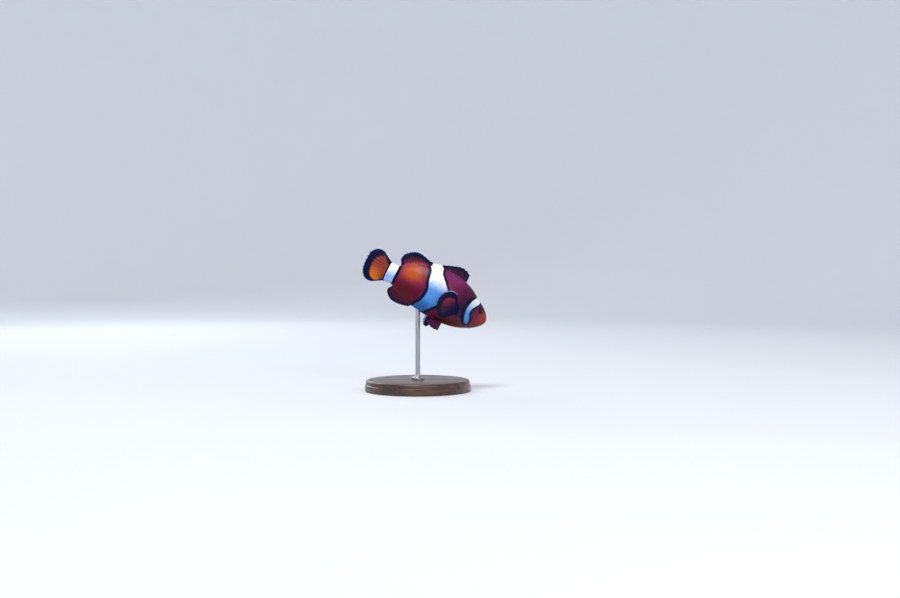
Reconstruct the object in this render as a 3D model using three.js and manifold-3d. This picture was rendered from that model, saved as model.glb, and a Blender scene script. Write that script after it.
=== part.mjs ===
// A clownfish (Amphiprion ocellaris), life size, caught in a slow swimming turn and held on a
// small round display stand. Millimetres and degrees, +Z up, the head towards +X. The origin is
// the middle of the stand's underside.
//
// The fish is first built straight, in a frame of its own: +X to the snout, +Y to its left and
// +Z to its back. Places along it are given as s, the share of the total length behind the snout.
// The finished pieces are then bent along the spine, and one group turns and lifts them.
import * as THREE from "three";
import { mergeVertices } from "three/addons/utils/BufferGeometryUtils.js";
import Module from "manifold-3d";

const wasm = await Module();
wasm.setup();

// ---------------------------------------------------------------- driving dimensions
const totalLength = 80; // the length that shares are of; the tail fin ends at about 1.04
const gap = 0.3; // clearance between neighbouring nodes
const pivotS = 0.45; // the place on the spine that the fish turns about
const pose = {
  height: 52, // pivot above the floor
  yaw: -7, // turned to its right
  pitch: 25, // nose down
  roll: -11, // back leaning to the fish's left
  rodBehind: 3.4, // how far behind the pivot the rod meets the belly
};
// The spine bends to the left at both ends, between these shares of the length.
const headTurn = { degrees: 44, from: 0.16, to: 0.5 };
const tailTurn = { degrees: -38, from: 0.46, to: 0.95 };

// Reach of the body above, below and to each side of the spine line, as shares of the length.
const bodyStations = [
  { s: 0, top: 0.014, bottom: 0.014, half: 0.012 },
  { s: 0.01, top: 0.034, bottom: 0.032, half: 0.028 },
  { s: 0.04, top: 0.06, bottom: 0.06, half: 0.046 },
  { s: 0.09, top: 0.087, bottom: 0.092, half: 0.06 },
  { s: 0.15, top: 0.111, bottom: 0.117, half: 0.069 },
  { s: 0.22, top: 0.143, bottom: 0.141, half: 0.077 },
  { s: 0.3, top: 0.163, bottom: 0.156, half: 0.081 },
  { s: 0.38, top: 0.17, bottom: 0.159, half: 0.079 },
  { s: 0.46, top: 0.165, bottom: 0.154, half: 0.073 },
  { s: 0.54, top: 0.149, bottom: 0.139, half: 0.062 },
  { s: 0.62, top: 0.12, bottom: 0.112, half: 0.047 },
  { s: 0.69, top: 0.087, bottom: 0.082, half: 0.033 },
  { s: 0.74, top: 0.069, bottom: 0.065, half: 0.023 },
  { s: 0.78, top: 0.07, bottom: 0.06, half: 0.015 },
  { s: 0.805, top: 0.076, bottom: 0.061, half: 0.009 },
];
// Powers that shape the section: 1 is an ellipse, more is a sharper back, less a fuller belly.
const sectionPower = { backUp: 0.95, backOut: 1.12, bellyDown: 0.92, bellyOut: 0.9 };

const bodyMesh = { rings: 34, around: 32, crowding: 1.35, end: 0.795 };
const cuts = { trunkToRear: 0.53, rearToStalk: 0.725 };

// The rear edge of the head, from the nape down behind the gill cover to the throat: [s, z].
const headEdge = [
  [0.232, 0.25],
  [0.236, 0.13],
  [0.25, 0.07],
  [0.2645, 0.01],
  [0.258, -0.045],
  [0.238, -0.092],
  [0.216, -0.13],
  [0.205, -0.25],
];
const gillCover = {
  outline: [
    [0.168, 0.058],
    [0.205, 0.074],
    [0.238, 0.055],
    [0.2535, 0.01],
    [0.247, -0.042],
    [0.226, -0.086],
    [0.188, -0.106],
    [0.156, -0.078],
    [0.158, -0.01],
  ],
  thickness: 1.0,
  flare: 0.35, // the rear edge stands this far off the body
  flareFrom: 0.19,
};
const mouth = {
  cornerS: 0.05,
  tipZ: 0.001,
  cornerZ: -0.022,
  lipHalfHeight: 0.8,
  lipHalfDepth: 0.55,
  jawRearS: 0.085, // where the lower jaw ends under the chin
};
const nostril = { s: 0.07, z: 0.045, radius: 0.42 };
const eye = { s: 0.114, z: 0.046, radius: 2.4, halfDepth: 1.45, proud: 0.7, rim: 0.32 };

// Fins. Each ray is a ridge on the membrane; lengths are [place along the base, share of length].
const finThickness = { root: 1.15, edge: 0.34, ridgeRoot: 0.3, ridgeEdge: 0.12, sink: 1.6 };
const spinyDorsal = {
  from: 0.278,
  to: 0.505,
  side: 1,
  rays: 11,
  rows: 5,
  leanFront: -6,
  leanRear: 45,
  notch: 0.06,
  lengths: [
    [0, 0.058],
    [0.1, 0.068],
    [0.25, 0.069],
    [0.5, 0.05],
    [0.75, 0.033],
    [1, 0.026],
  ],
};
const softDorsal = {
  from: 0.513,
  to: 0.732,
  side: 1,
  rays: 14,
  rows: 5,
  leanFront: 28,
  leanRear: 26,
  notch: 0.025,
  lengths: [
    [0, 0.026],
    [0.15, 0.046],
    [0.35, 0.083],
    [0.55, 0.099],
    [0.75, 0.096],
    [0.9, 0.08],
    [1, 0.05],
  ],
};
const anal = {
  from: 0.548,
  to: 0.722,
  side: -1,
  rays: 13,
  rows: 5,
  leanFront: 36,
  leanRear: 40,
  notch: 0.025,
  lengths: [
    [0, 0.022],
    [0.25, 0.055],
    [0.5, 0.072],
    [0.75, 0.068],
    [0.9, 0.054],
    [1, 0.035],
  ],
};
const caudal = {
  baseS: 0.795,
  up: { base: 0.071, spread: 24.5 }, // half of the base, and the angle of the outermost ray
  down: { base: 0.06, spread: 17 },
  // from the uppermost ray to the lowest: a rounded fan, fullest above its middle
  lengths: [
    [0, 0.145],
    [0.03, 0.185],
    [0.09, 0.221],
    [0.17, 0.247],
    [0.25, 0.256],
    [0.35, 0.249],
    [0.5, 0.243],
    [0.7, 0.236],
    [0.84, 0.212],
    [0.95, 0.169],
    [1, 0.125],
  ],
  rays: 13,
  rows: 6,
  sway: -0.012, // the free edge trails to one side by this share
  notch: 0.02,
};
const pectoral = {
  s: 0.288,
  z: -0.048,
  baseLength: 0.055,
  baseLean: 14, // the base slants back at its foot
  length: 0.195,
  spread: 42,
  shorter: 0.5,
  rays: 13,
  rows: 5,
  cup: 0.024,
  notch: 0.02,
  rightFlare: 11, // angle that the fin stands off the body
  leftFlare: 40,
  rise: 4,
};
const pelvic = {
  s: 0.335,
  y: 0.026,
  baseLength: 0.034,
  length: 0.105,
  spread: 26,
  shorter: 0.15,
  rays: 6,
  rows: 5,
  cup: 0.006,
  notch: 0.04,
  right: { drop: 52, splay: 38 },
  left: { drop: 26, splay: 16 },
};
const stand = {
  baseRadius: 28,
  baseHeight: 6,
  chamfer: 1.2,
  foot: 0.8, // the lower edge is drawn in by this much
  rodRadius: 1.25,
  collarRadius: 3.6,
  collarHeight: 1,
  sides: 48,
  rodSides: 20,
};
const colours = {
  skin: "#a8322a",
  fin: "#8a2a2e",
  tailFin: "#c46a22",
  eye: "#120c10",
  stand: "#3d2a1e",
  rod: "#b9bcc0",
};

// ---------------------------------------------------------------- small helpers
const radians = THREE.MathUtils.degToRad;
const lerp = THREE.MathUtils.lerp;
const shareX = (s) => (pivotS - s) * totalLength;

// Smooth curve through [x, value] pairs, with each slope taken from the two neighbours.
function curveThrough(pairs, x) {
  const last = pairs.length - 1;
  let i = pairs.findIndex((pair) => pair[0] > x) - 1;
  if (i < 0) i = x >= pairs[last][0] ? last - 1 : 0;
  const slope = (k) => {
    const before = pairs[Math.max(k - 1, 0)];
    const after = pairs[Math.min(k + 1, last)];
    return (after[1] - before[1]) / (after[0] - before[0]);
  };
  const width = pairs[i + 1][0] - pairs[i][0];
  const t = THREE.MathUtils.clamp((x - pairs[i][0]) / width, 0, 1);
  const h = t * t * (3 - 2 * t);
  return (
    pairs[i][1] * (1 - h) +
    pairs[i + 1][1] * h +
    width * slope(i) * t * (1 - t) * (1 - t) -
    width * slope(i + 1) * t * t * (1 - t)
  );
}

// A closed solid from points and triangles, turned the right way out.
function solidFrom(points, triangles) {
  let volume = 0;
  for (const [a, b, c] of triangles)
    volume += points[a].dot(new THREE.Vector3().crossVectors(points[b], points[c]));
  const geometry = new THREE.BufferGeometry();
  geometry.setAttribute(
    "position",
    new THREE.Float32BufferAttribute(points.flatMap((p) => [p.x, p.y, p.z]), 3),
  );
  geometry.setIndex(triangles.flatMap(([a, b, c]) => (volume > 0 ? [a, b, c] : [a, c, b])));
  return toSolid(geometry);
}

function toSolid(geometry) {
  const bare = geometry.clone();
  bare.deleteAttribute("normal");
  bare.deleteAttribute("uv");
  const merged = mergeVertices(bare, 1e-4);
  return new wasm.Manifold(
    new wasm.Mesh({
      numProp: 3,
      vertProperties: new Float32Array(merged.attributes.position.array),
      triVerts: new Uint32Array(merged.index.array),
    }),
  );
}

function toGeometry(solid) {
  const mesh = solid.getMesh();
  const positions = new Float32Array(mesh.numVert * 3);
  for (let i = 0; i < mesh.numVert; i++)
    positions.set(mesh.vertProperties.subarray(i * mesh.numProp, i * mesh.numProp + 3), i * 3);
  const geometry = new THREE.BufferGeometry();
  geometry.setAttribute("position", new THREE.BufferAttribute(positions, 3));
  geometry.setIndex(new THREE.BufferAttribute(new Uint32Array(mesh.triVerts), 1));
  return geometry;
}

// Only the largest closed piece, so a scrap left by a cut is dropped.
function largest(solid) {
  const pieces = solid.decompose();
  return pieces.reduce((best, piece) => (piece.volume() > best.volume() ? piece : best));
}

// Skins a row of rings that all have the same number of points, and closes both ends.
function loft(rings) {
  const around = rings[0].length;
  const points = rings.flat();
  const triangles = [];
  for (let i = 0; i + 1 < rings.length; i++)
    for (let j = 0; j < around; j++) {
      const [a, b] = [i * around + j, i * around + ((j + 1) % around)];
      triangles.push([a, b, a + around], [b, b + around, a + around]);
    }
  for (const end of [0, rings.length - 1]) {
    const middle = new THREE.Vector3();
    rings[end].forEach((p) => middle.addScaledVector(p, 1 / around));
    points.push(middle);
    for (let j = 0; j < around; j++) {
      const [a, b] = [end * around + j, end * around + ((j + 1) % around)];
      triangles.push(end ? [a, b, points.length - 1] : [b, a, points.length - 1]);
    }
  }
  return solidFrom(points, triangles);
}

// A prism across the body whose side outline is given as [s, z] shares.
function sidePrism(outline, yFrom, yTo) {
  const shape = new THREE.Shape(
    outline.map(([s, z]) => new THREE.Vector2(shareX(s), z * totalLength)),
  );
  const geometry = new THREE.ExtrudeGeometry(shape, { depth: yTo - yFrom, bevelEnabled: false });
  geometry.rotateX(Math.PI / 2); // the depth now runs towards -Y
  geometry.translate(0, yTo, 0);
  return toSolid(geometry);
}

function smoothOutline(points, samples, closed = true) {
  const curve = new THREE.CatmullRomCurve3(
    points.map(([s, z]) => new THREE.Vector3(s, z, 0)),
    closed,
  );
  return curve.getPoints(samples).slice(0, closed ? -1 : undefined).map((p) => [p.x, p.y]);
}

// The outline moved outwards from its middle by a distance in millimetres.
function grownOutline(outline, distance) {
  const count = outline.length;
  const share = distance / totalLength;
  return outline.map(([s, z], i) => {
    const before = outline[(i + count - 1) % count];
    const after = outline[(i + 1) % count];
    const along = new THREE.Vector2(after[0] - before[0], after[1] - before[1]).normalize();
    const side = THREE.ShapeUtils.area(outline.map((p) => new THREE.Vector2(...p))) > 0 ? 1 : -1;
    return [s + along.y * share * side, z - along.x * share * side];
  });
}

// Everything behind a cut line, which runs from above the back to below the belly.
function behind(line, shift) {
  const moved = line.map(([s, z]) => [s + shift / totalLength, z]);
  return sidePrism([...moved, [1.2, line.at(-1)[1]], [1.2, line[0][1]]], -30, 30);
}

const straightCut = (s) => [
  [s, 0.3],
  [s, -0.3],
];

// ---------------------------------------------------------------- the body's surface
const bodyReach = {};
for (const key of ["top", "bottom", "half"])
  bodyReach[key] = bodyStations.map((station) => [station.s, station[key]]);

const reachAt = (key, s) => curveThrough(bodyReach[key], s) * totalLength;

// A point of the skin. turn is 0 at the back, a quarter turn at the left flank, half at the belly.
function skinPoint(s, turn, grow = 0) {
  const up = Math.cos(turn);
  const out = Math.sin(turn);
  const onBack = up > 0;
  const reach = reachAt(onBack ? "top" : "bottom", s) + grow;
  const upPower = onBack ? sectionPower.backUp : sectionPower.bellyDown;
  const outPower = onBack ? sectionPower.backOut : sectionPower.bellyOut;
  return new THREE.Vector3(
    shareX(s),
    Math.sign(out) * (reachAt("half", s) + grow) * Math.abs(out) ** outPower,
    Math.sign(up) * reach * Math.abs(up) ** upPower,
  );
}

// The place on the left flank at a height given as a share, with the normal of the skin there.
function flankAt(s, z) {
  const onBack = z > 0;
  const reach = reachAt(onBack ? "top" : "bottom", s) / totalLength;
  const power = onBack ? sectionPower.backUp : sectionPower.bellyDown;
  const up = Math.sign(z) * Math.min(Math.abs(z) / reach, 1) ** (1 / power);
  const turn = Math.acos(up);
  const step = 0.01;
  const along = skinPoint(s - step, turn).sub(skinPoint(s + step, turn));
  const round = skinPoint(s, turn - step).sub(skinPoint(s, turn + step));
  return {
    point: skinPoint(s, turn),
    normal: new THREE.Vector3().crossVectors(round, along).normalize(),
    forward: along.normalize(),
  };
}

function bodySolid(growAt) {
  const rings = [];
  for (let i = 0; i <= bodyMesh.rings; i++) {
    const s = bodyMesh.end * (i / bodyMesh.rings) ** bodyMesh.crowding;
    const ring = [];
    for (let j = 0; j < bodyMesh.around; j++)
      ring.push(skinPoint(s, (2 * Math.PI * j) / bodyMesh.around, growAt(s)));
    if (i === 0) ring.forEach((p) => (p.x += Math.max(growAt(0), 0)));
    rings.push(ring);
  }
  return loft(rings);
}

const mirrorLeftToRight = (solid) => solid.mirror([0, 1, 0]);

// ---------------------------------------------------------------- bending along the spine
const smooth = (t) => THREE.MathUtils.smoothstep(t, 0, 1);

function spineAngle(s) {
  const head = 1 - smooth((s - headTurn.from) / (headTurn.to - headTurn.from));
  const tail = smooth((s - tailTurn.from) / (tailTurn.to - tailTurn.from));
  return radians(headTurn.degrees) * head + radians(tailTurn.degrees) * tail;
}

const spineStep = 0.0025;
const spine = [];
for (let s = -0.1, x = 0, y = 0; s < 1.2; s += spineStep) {
  spine.push({ s, x, y });
  const angle = spineAngle(s + spineStep / 2);
  x -= Math.cos(angle) * spineStep * totalLength;
  y -= Math.sin(angle) * spineStep * totalLength;
}
const pivotPoint = spine[Math.round((pivotS - spine[0].s) / spineStep)];

function bendPoint(p) {
  const s = pivotS - p.x / totalLength;
  const place = (s - spine[0].s) / spineStep;
  const i = THREE.MathUtils.clamp(Math.floor(place), 0, spine.length - 2);
  const x = lerp(spine[i].x, spine[i + 1].x, place - i) - pivotPoint.x;
  const y = lerp(spine[i].y, spine[i + 1].y, place - i) - pivotPoint.y;
  const angle = spineAngle(s);
  p.set(x - p.y * Math.sin(angle), y + p.y * Math.cos(angle), p.z);
}

// Carries a piece with the spine at its root, turned but not bent, as a fin on a small base is.
function carry(solid, s, y) {
  const root = new THREE.Vector3(shareX(s), y, 0);
  const matrix = new THREE.Matrix4().makeTranslation(-root.x, -root.y, 0);
  matrix.premultiply(new THREE.Matrix4().makeRotationZ(spineAngle(s)));
  bendPoint(root);
  matrix.premultiply(new THREE.Matrix4().makeTranslation(root.x, root.y, 0));
  return toSolid(toGeometry(solid).applyMatrix4(matrix));
}

function bend(solid) {
  const geometry = toGeometry(solid);
  const positions = geometry.attributes.position;
  const p = new THREE.Vector3();
  for (let i = 0; i < positions.count; i++) {
    bendPoint(p.fromBufferAttribute(positions, i));
    positions.setXYZ(i, p.x, p.y, p.z);
  }
  return geometry;
}

// ---------------------------------------------------------------- body, head and gill covers
const body = bodySolid(() => 0);
const bodyWithGap = bodySolid(() => gap);

function mouthLips() {
  const sides = 8;
  const samples = 18;
  const corner = flankAt(mouth.cornerS, mouth.cornerZ).point;
  const cheek = flankAt(mouth.cornerS * 0.4, (mouth.tipZ + mouth.cornerZ) / 2).point;
  const tip = new THREE.Vector3(shareX(-0.0015), 0, mouth.tipZ * totalLength);
  const right = (p) => new THREE.Vector3(p.x, -p.y, p.z);
  const path = new THREE.CatmullRomCurve3([corner, cheek, tip, right(cheek), right(corner)]);
  const rings = [];
  for (let i = 0; i <= samples; i++) {
    const t = i / samples;
    const size = 0.35 + 0.65 * Math.sin(Math.PI * t) ** 0.6;
    const centre = path.getPoint(t);
    const along = path.getTangent(t);
    const out = new THREE.Vector3(along.y, -along.x, 0).normalize();
    const up = new THREE.Vector3().crossVectors(along, out).normalize();
    const ring = [];
    for (let j = 0; j < sides; j++) {
      const a = (2 * Math.PI * j) / sides;
      ring.push(
        centre
          .clone()
          .addScaledVector(out, Math.cos(a) * mouth.lipHalfDepth * size)
          .addScaledVector(up, Math.sin(a) * mouth.lipHalfHeight * size),
      );
    }
    rings.push(ring);
  }
  return loft(rings);
}

// The lower jaw seen from the side; shift moves its cut faces inwards.
function jawPrism(shift) {
  const inward = shift / totalLength;
  return sidePrism(
    [
      [-0.05, mouth.tipZ - inward],
      [0.004, mouth.tipZ - inward],
      [mouth.cornerS - inward, mouth.cornerZ - inward],
      [mouth.jawRearS - inward, -0.2],
      [-0.05, -0.2],
    ],
    -20,
    20,
  );
}

function eyePlacement() {
  const { point, normal, forward } = flankAt(eye.s, eye.z);
  const up = new THREE.Vector3().crossVectors(forward, normal);
  const centre = point.addScaledVector(normal, eye.proud - eye.halfDepth);
  return new THREE.Matrix4().makeBasis(forward, normal, up).setPosition(centre);
}

function eyeball(grow) {
  const geometry = new THREE.SphereGeometry(1, 20, 12);
  geometry.scale(eye.radius + grow, eye.halfDepth + grow, eye.radius + grow);
  return toSolid(geometry.applyMatrix4(eyePlacement()));
}

// A soft raised ring of skin round the eye, sunk half into the head.
function eyeRim() {
  const ring = new THREE.TorusGeometry(eye.radius + gap, eye.rim, 6, 22);
  ring.rotateX(Math.PI / 2);
  ring.translate(0, eye.halfDepth - eye.proud + 0.05, 0);
  return toSolid(ring.applyMatrix4(eyePlacement()));
}

function nostrilPit() {
  const geometry = new THREE.SphereGeometry(nostril.radius, 10, 7);
  const { point } = flankAt(nostril.s, nostril.z);
  geometry.translate(point.x, point.y, point.z);
  return toSolid(geometry);
}

const coverOutline = smoothOutline(gillCover.outline, 32);
const headLine = smoothOutline(headEdge, 18, false);

function coverFlare(s) {
  const rear = (s - gillCover.flareFrom) / (0.255 - gillCover.flareFrom);
  return gillCover.flare * smooth(THREE.MathUtils.clamp(rear, 0, 1));
}

function leftGillCover() {
  const inner = bodySolid(() => -gillCover.thickness);
  return largest(
    bodySolid(coverFlare).subtract(inner).intersect(sidePrism(coverOutline, 0.5, 15)),
  );
}

function headSolid() {
  const pocketFloor = bodySolid(() => -gillCover.thickness - gap);
  const pocket = sidePrism(grownOutline(coverOutline, gap), 0.5, 15).subtract(pocketFloor);
  const both = (solid) => solid.add(mirrorLeftToRight(solid));
  const whole = body
    .subtract(behind(headLine, -gap / 2))
    .add(mouthLips())
    .add(both(eyeRim()));
  return whole
    .subtract(both(pocket))
    .subtract(both(eyeball(gap)))
    .subtract(both(nostrilPit()));
}

const wholeHead = headSolid();

// ---------------------------------------------------------------- fins
// A membrane with a ridge along every ray, closed all round. place(u, t) gives the middle
// surface and its normal, u from the first ray to the last and t from the root to the edge.
function rayedFin({ rays, rows, notch }, place, slim = 1) {
  const columns = 2 * (rays - 1);
  const points = [[], []];
  for (let i = 0; i <= rows; i++)
    for (let j = 0; j <= columns; j++) {
      const onRay = j % 2 === 0;
      const t = (i / rows) * (onRay ? 1 : 1 - notch);
      const { point, normal } = place(j / columns, t);
      const membrane = lerp(finThickness.root, finThickness.edge, Math.sqrt(t));
      const ridge = onRay ? lerp(finThickness.ridgeRoot, finThickness.ridgeEdge, t) : 0;
      const half = (membrane / 2) * slim + ridge;
      points[0].push(point.clone().addScaledVector(normal, half));
      points[1].push(point.clone().addScaledVector(normal, -half));
    }
  const across = columns + 1;
  const other = points[0].length;
  const triangles = [];
  const quad = (a, b, c, d) => triangles.push([a, b, c], [a, c, d]);
  for (let i = 0; i < rows; i++)
    for (let j = 0; j < columns; j++) {
      const [a, b, c, d] = [0, 1, across + 1, across].map((k) => i * across + j + k);
      triangles.push([a, b, c], [a, c, d]);
      triangles.push([a + other, c + other, b + other], [a + other, d + other, c + other]);
    }
  const edge = [];
  for (let j = 0; j < columns; j++) edge.push(j);
  for (let i = 0; i < rows; i++) edge.push(i * across + columns);
  for (let j = columns; j > 0; j--) edge.push(rows * across + j);
  for (let i = rows; i > 0; i--) edge.push(i * across);
  edge.forEach((a, k) => {
    const b = edge[(k + 1) % edge.length];
    quad(b, a, a + other, b + other);
  });
  return solidFrom([...points[0], ...points[1]], triangles);
}

// A fin on the back or under the belly, rooted in the body's ridge line.
function medianFin(fin) {
  const key = fin.side > 0 ? "top" : "bottom";
  return largest(
    rayedFin(fin, (u, t) => {
      const s = lerp(fin.from, fin.to, u);
      const lean = radians(lerp(fin.leanFront, fin.leanRear, u));
      const reach = curveThrough(fin.lengths, u) * totalLength + finThickness.sink;
      const out = t * reach - finThickness.sink;
      const trail = 0.12 * t * t * out;
      return {
        point: new THREE.Vector3(
          shareX(s) - out * Math.sin(lean) - trail,
          0,
          fin.side * (reachAt(key, s) + out * Math.cos(lean)),
        ),
        normal: new THREE.Vector3(0, 1, 0),
      };
    }).subtract(bodyWithGap),
  );
}

function tailFin() {
  return largest(
    rayedFin(caudal, (u, t) => {
      const across = 1 - 2 * u;
      const { base, spread } = across > 0 ? caudal.up : caudal.down;
      const angle = radians(spread * across);
      const reach = curveThrough(caudal.lengths, u) * totalLength * t;
      return {
        point: new THREE.Vector3(
          shareX(caudal.baseS) - gap - reach * Math.cos(angle),
          caudal.sway * totalLength * t * t * Math.cos(2.2 * across),
          base * totalLength * across + reach * Math.sin(angle),
        ),
        normal: new THREE.Vector3(0, 1, 0),
      };
    }, 1.1),
  );
}

// A paired fin: rays fan out in the plane of axis and base, and the edge cups along the normal.
function fanFin(fin, root, axis, base) {
  const normal = new THREE.Vector3().crossVectors(axis, base).normalize();
  return rayedFin(
    fin,
    (u, t) => {
      const across = 1 - 2 * u;
      const angle = radians(fin.spread * across);
      const shorter = (fin.shorter ?? 0) * Math.abs(across) ** 2;
      const full = fin.length * totalLength * (1 - shorter) + finThickness.sink;
      const reach = full * t - finThickness.sink;
      const bow = fin.cup * totalLength * t * t * (1 - 0.5 * across * across);
      const point = root
        .clone()
        .addScaledVector(base, (fin.baseLength * totalLength * across) / 2)
        .addScaledVector(axis, reach * Math.cos(angle))
        .addScaledVector(base, Math.max(reach, 0) * Math.sin(angle))
        .addScaledVector(normal, bow);
      return { point, normal };
    },
    0.8,
  );
}

function leftPectoral(flare) {
  const { point, normal } = flankAt(pectoral.s, pectoral.z);
  const lean = radians(pectoral.baseLean);
  const base = new THREE.Vector3(Math.sin(lean), 0, Math.cos(lean));
  const level = new THREE.Vector3(normal.x, normal.y, 0).normalize();
  const back = new THREE.Vector3(-level.y, level.x, 0);
  const axis = back
    .multiplyScalar(Math.cos(radians(flare)))
    .addScaledVector(level, Math.sin(radians(flare)))
    .addScaledVector(new THREE.Vector3(0, 0, 1), Math.sin(radians(pectoral.rise)))
    .normalize();
  base.addScaledVector(axis, -base.dot(axis)).normalize();
  return fanFin(pectoral, point, axis, base);
}

function leftPelvic({ drop, splay }) {
  const z = -reachAt("bottom", pelvic.s) * 0.93;
  const root = new THREE.Vector3(shareX(pelvic.s), pelvic.y * totalLength, z);
  const [down, out] = [radians(drop), radians(splay)];
  const axis = new THREE.Vector3(
    -Math.cos(down),
    Math.sin(out) * Math.sin(down),
    -Math.cos(out) * Math.sin(down),
  ).normalize();
  const base = new THREE.Vector3(1, 0.25, 0);
  base.addScaledVector(axis, -base.dot(axis)).normalize();
  return fanFin(pelvic, root, axis, base);
}

// ---------------------------------------------------------------- the fish, bent but not posed
const bentBody = toSolid(bend(bodyWithGap));

function pairedFin(solid, fin, side) {
  const y = side * (fin.y ? fin.y * totalLength : flankAt(fin.s, fin.z).point.y);
  return carry(side > 0 ? solid : mirrorLeftToRight(solid), fin.s, y).subtract(bentBody);
}

const bentParts = [
  ["head", wholeHead.subtract(jawPrism(-gap / 2)), colours.skin],
  ["lower_jaw", wholeHead.intersect(jawPrism(gap / 2)), colours.skin],
  ["gill_cover_left", leftGillCover(), colours.skin],
  ["gill_cover_right", mirrorLeftToRight(leftGillCover()), colours.skin],
  ["eye_left", eyeball(0), colours.eye],
  ["eye_right", mirrorLeftToRight(eyeball(0)), colours.eye],
  [
    "trunk",
    body
      .intersect(behind(headLine, gap / 2))
      .subtract(behind(straightCut(cuts.trunkToRear), -gap / 2)),
    colours.skin,
  ],
  [
    "rear_body",
    body
      .intersect(behind(straightCut(cuts.trunkToRear), gap / 2))
      .subtract(behind(straightCut(cuts.rearToStalk), -gap / 2)),
    colours.skin,
  ],
  ["tail_stalk", body.intersect(behind(straightCut(cuts.rearToStalk), gap / 2)), colours.skin],
  ["dorsal_fin_spiny", medianFin(spinyDorsal), colours.fin],
  ["dorsal_fin_soft", medianFin(softDorsal), colours.fin],
  ["anal_fin", medianFin(anal), colours.fin],
  ["tail_fin", tailFin(), colours.tailFin],
];
const carriedParts = [
  ["pectoral_fin_left", pairedFin(leftPectoral(pectoral.leftFlare), pectoral, 1)],
  ["pectoral_fin_right", pairedFin(leftPectoral(pectoral.rightFlare), pectoral, -1)],
  ["pelvic_fin_left", pairedFin(leftPelvic(pelvic.left), pelvic, 1)],
  ["pelvic_fin_right", pairedFin(leftPelvic(pelvic.right), pelvic, -1)],
];

// ---------------------------------------------------------------- the fish, posed
const fish = new THREE.Group();
fish.rotation.order = "ZYX";
fish.rotation.set(radians(pose.roll), radians(pose.pitch), radians(pose.yaw));
fish.updateMatrix();

// The belly point that the rod meets is brought over the origin.
const rodS = pivotS + pose.rodBehind / totalLength;
const belly = new THREE.Vector3(-pose.rodBehind, 0, -reachAt("bottom", rodS)).applyMatrix4(
  fish.matrix,
);
fish.position.set(-belly.x, -belly.y, pose.height);

function addToFish(name, geometry, color) {
  const material = new THREE.MeshStandardMaterial({ color, roughness: 0.4, metalness: 0 });
  const mesh = new THREE.Mesh(geometry, material);
  mesh.name = name;
  fish.add(mesh);
}

for (const [name, solid, colour] of bentParts) addToFish(name, bend(largest(solid)), colour);
for (const [name, solid] of carriedParts)
  addToFish(name, toGeometry(largest(solid)), colours.fin);

// ---------------------------------------------------------------- the stand
function turned(profile, sides) {
  const geometry = new THREE.LatheGeometry(
    profile.map(([radius, z]) => new THREE.Vector2(radius, z)),
    sides,
  );
  return toSolid(geometry.rotateX(Math.PI / 2));
}

function standMesh(name, solid, colour, roughness, metalness) {
  const material = new THREE.MeshStandardMaterial({ color: colour, roughness, metalness });
  const mesh = new THREE.Mesh(toGeometry(solid), material);
  mesh.name = name;
  return mesh;
}

const base = turned(
  [
    [0, 0],
    [stand.baseRadius - stand.foot, 0],
    [stand.baseRadius, stand.foot],
    [stand.baseRadius, stand.baseHeight - stand.chamfer],
    [stand.baseRadius - stand.chamfer, stand.baseHeight],
    [0, stand.baseHeight],
  ],
  stand.sides,
);

fish.updateMatrix();
const bodyInPlace = toSolid(toGeometry(bentBody).applyMatrix4(fish.matrix));
const rodFoot = stand.baseHeight + gap;
const rod = turned(
  [
    [0, rodFoot],
    [stand.collarRadius, rodFoot],
    [stand.collarRadius, rodFoot + stand.collarHeight],
    [stand.rodRadius * 1.6, rodFoot + stand.collarHeight * 1.7],
    [stand.rodRadius, rodFoot + stand.collarHeight * 3],
    [stand.rodRadius, pose.height],
    [0, pose.height],
  ],
  stand.rodSides,
).subtract(bodyInPlace);

const lowestPiece = (solid) =>
  solid.decompose().reduce((low, p) => (p.boundingBox().min[2] < low.boundingBox().min[2] ? p : low));

const model = new THREE.Group();
model.add(
  fish,
  standMesh("stand_base", base, colours.stand, 0.55, 0),
  standMesh("stand_rod", lowestPiece(rod), colours.rod, 0.3, 1),
);

export default model;
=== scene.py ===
# A life-size clownfish caught in a swimming turn, held on a small display stand.
# Sizes are millimetres and turn to metres where a piece's points are placed.
import random
from math import acos, cos, exp, floor, hypot, log, pi, radians, sin, sqrt

import bpy
import bmesh
from mathutils import Matrix, Vector, noise


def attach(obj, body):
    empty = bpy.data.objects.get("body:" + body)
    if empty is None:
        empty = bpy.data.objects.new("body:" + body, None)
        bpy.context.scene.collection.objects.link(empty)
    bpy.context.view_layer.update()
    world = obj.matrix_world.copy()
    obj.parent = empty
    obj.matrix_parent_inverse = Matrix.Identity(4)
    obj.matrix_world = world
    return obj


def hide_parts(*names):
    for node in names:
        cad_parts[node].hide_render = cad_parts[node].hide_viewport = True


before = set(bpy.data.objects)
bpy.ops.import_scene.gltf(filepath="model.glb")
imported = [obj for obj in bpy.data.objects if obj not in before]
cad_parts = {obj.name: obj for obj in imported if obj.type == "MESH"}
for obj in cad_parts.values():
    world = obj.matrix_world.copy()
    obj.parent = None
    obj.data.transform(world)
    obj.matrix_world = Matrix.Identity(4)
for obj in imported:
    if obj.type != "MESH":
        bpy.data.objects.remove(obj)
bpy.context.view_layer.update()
print("frame loaded")

mm = 0.001


# small helpers

def lerp(a, b, t):
    return a + (b - a) * t


def smooth(t):
    t = min(max(t, 0.0), 1.0)
    return t * t * (3 - 2 * t)


def rise(value, low, high):  # 0 below low, 1 above high, soft between
    return smooth((value - low) / (high - low))


def hump(distance, width):
    return exp(-((distance / width) ** 2))


def signed(value):
    return -1.0 if value < 0 else 1.0


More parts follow.
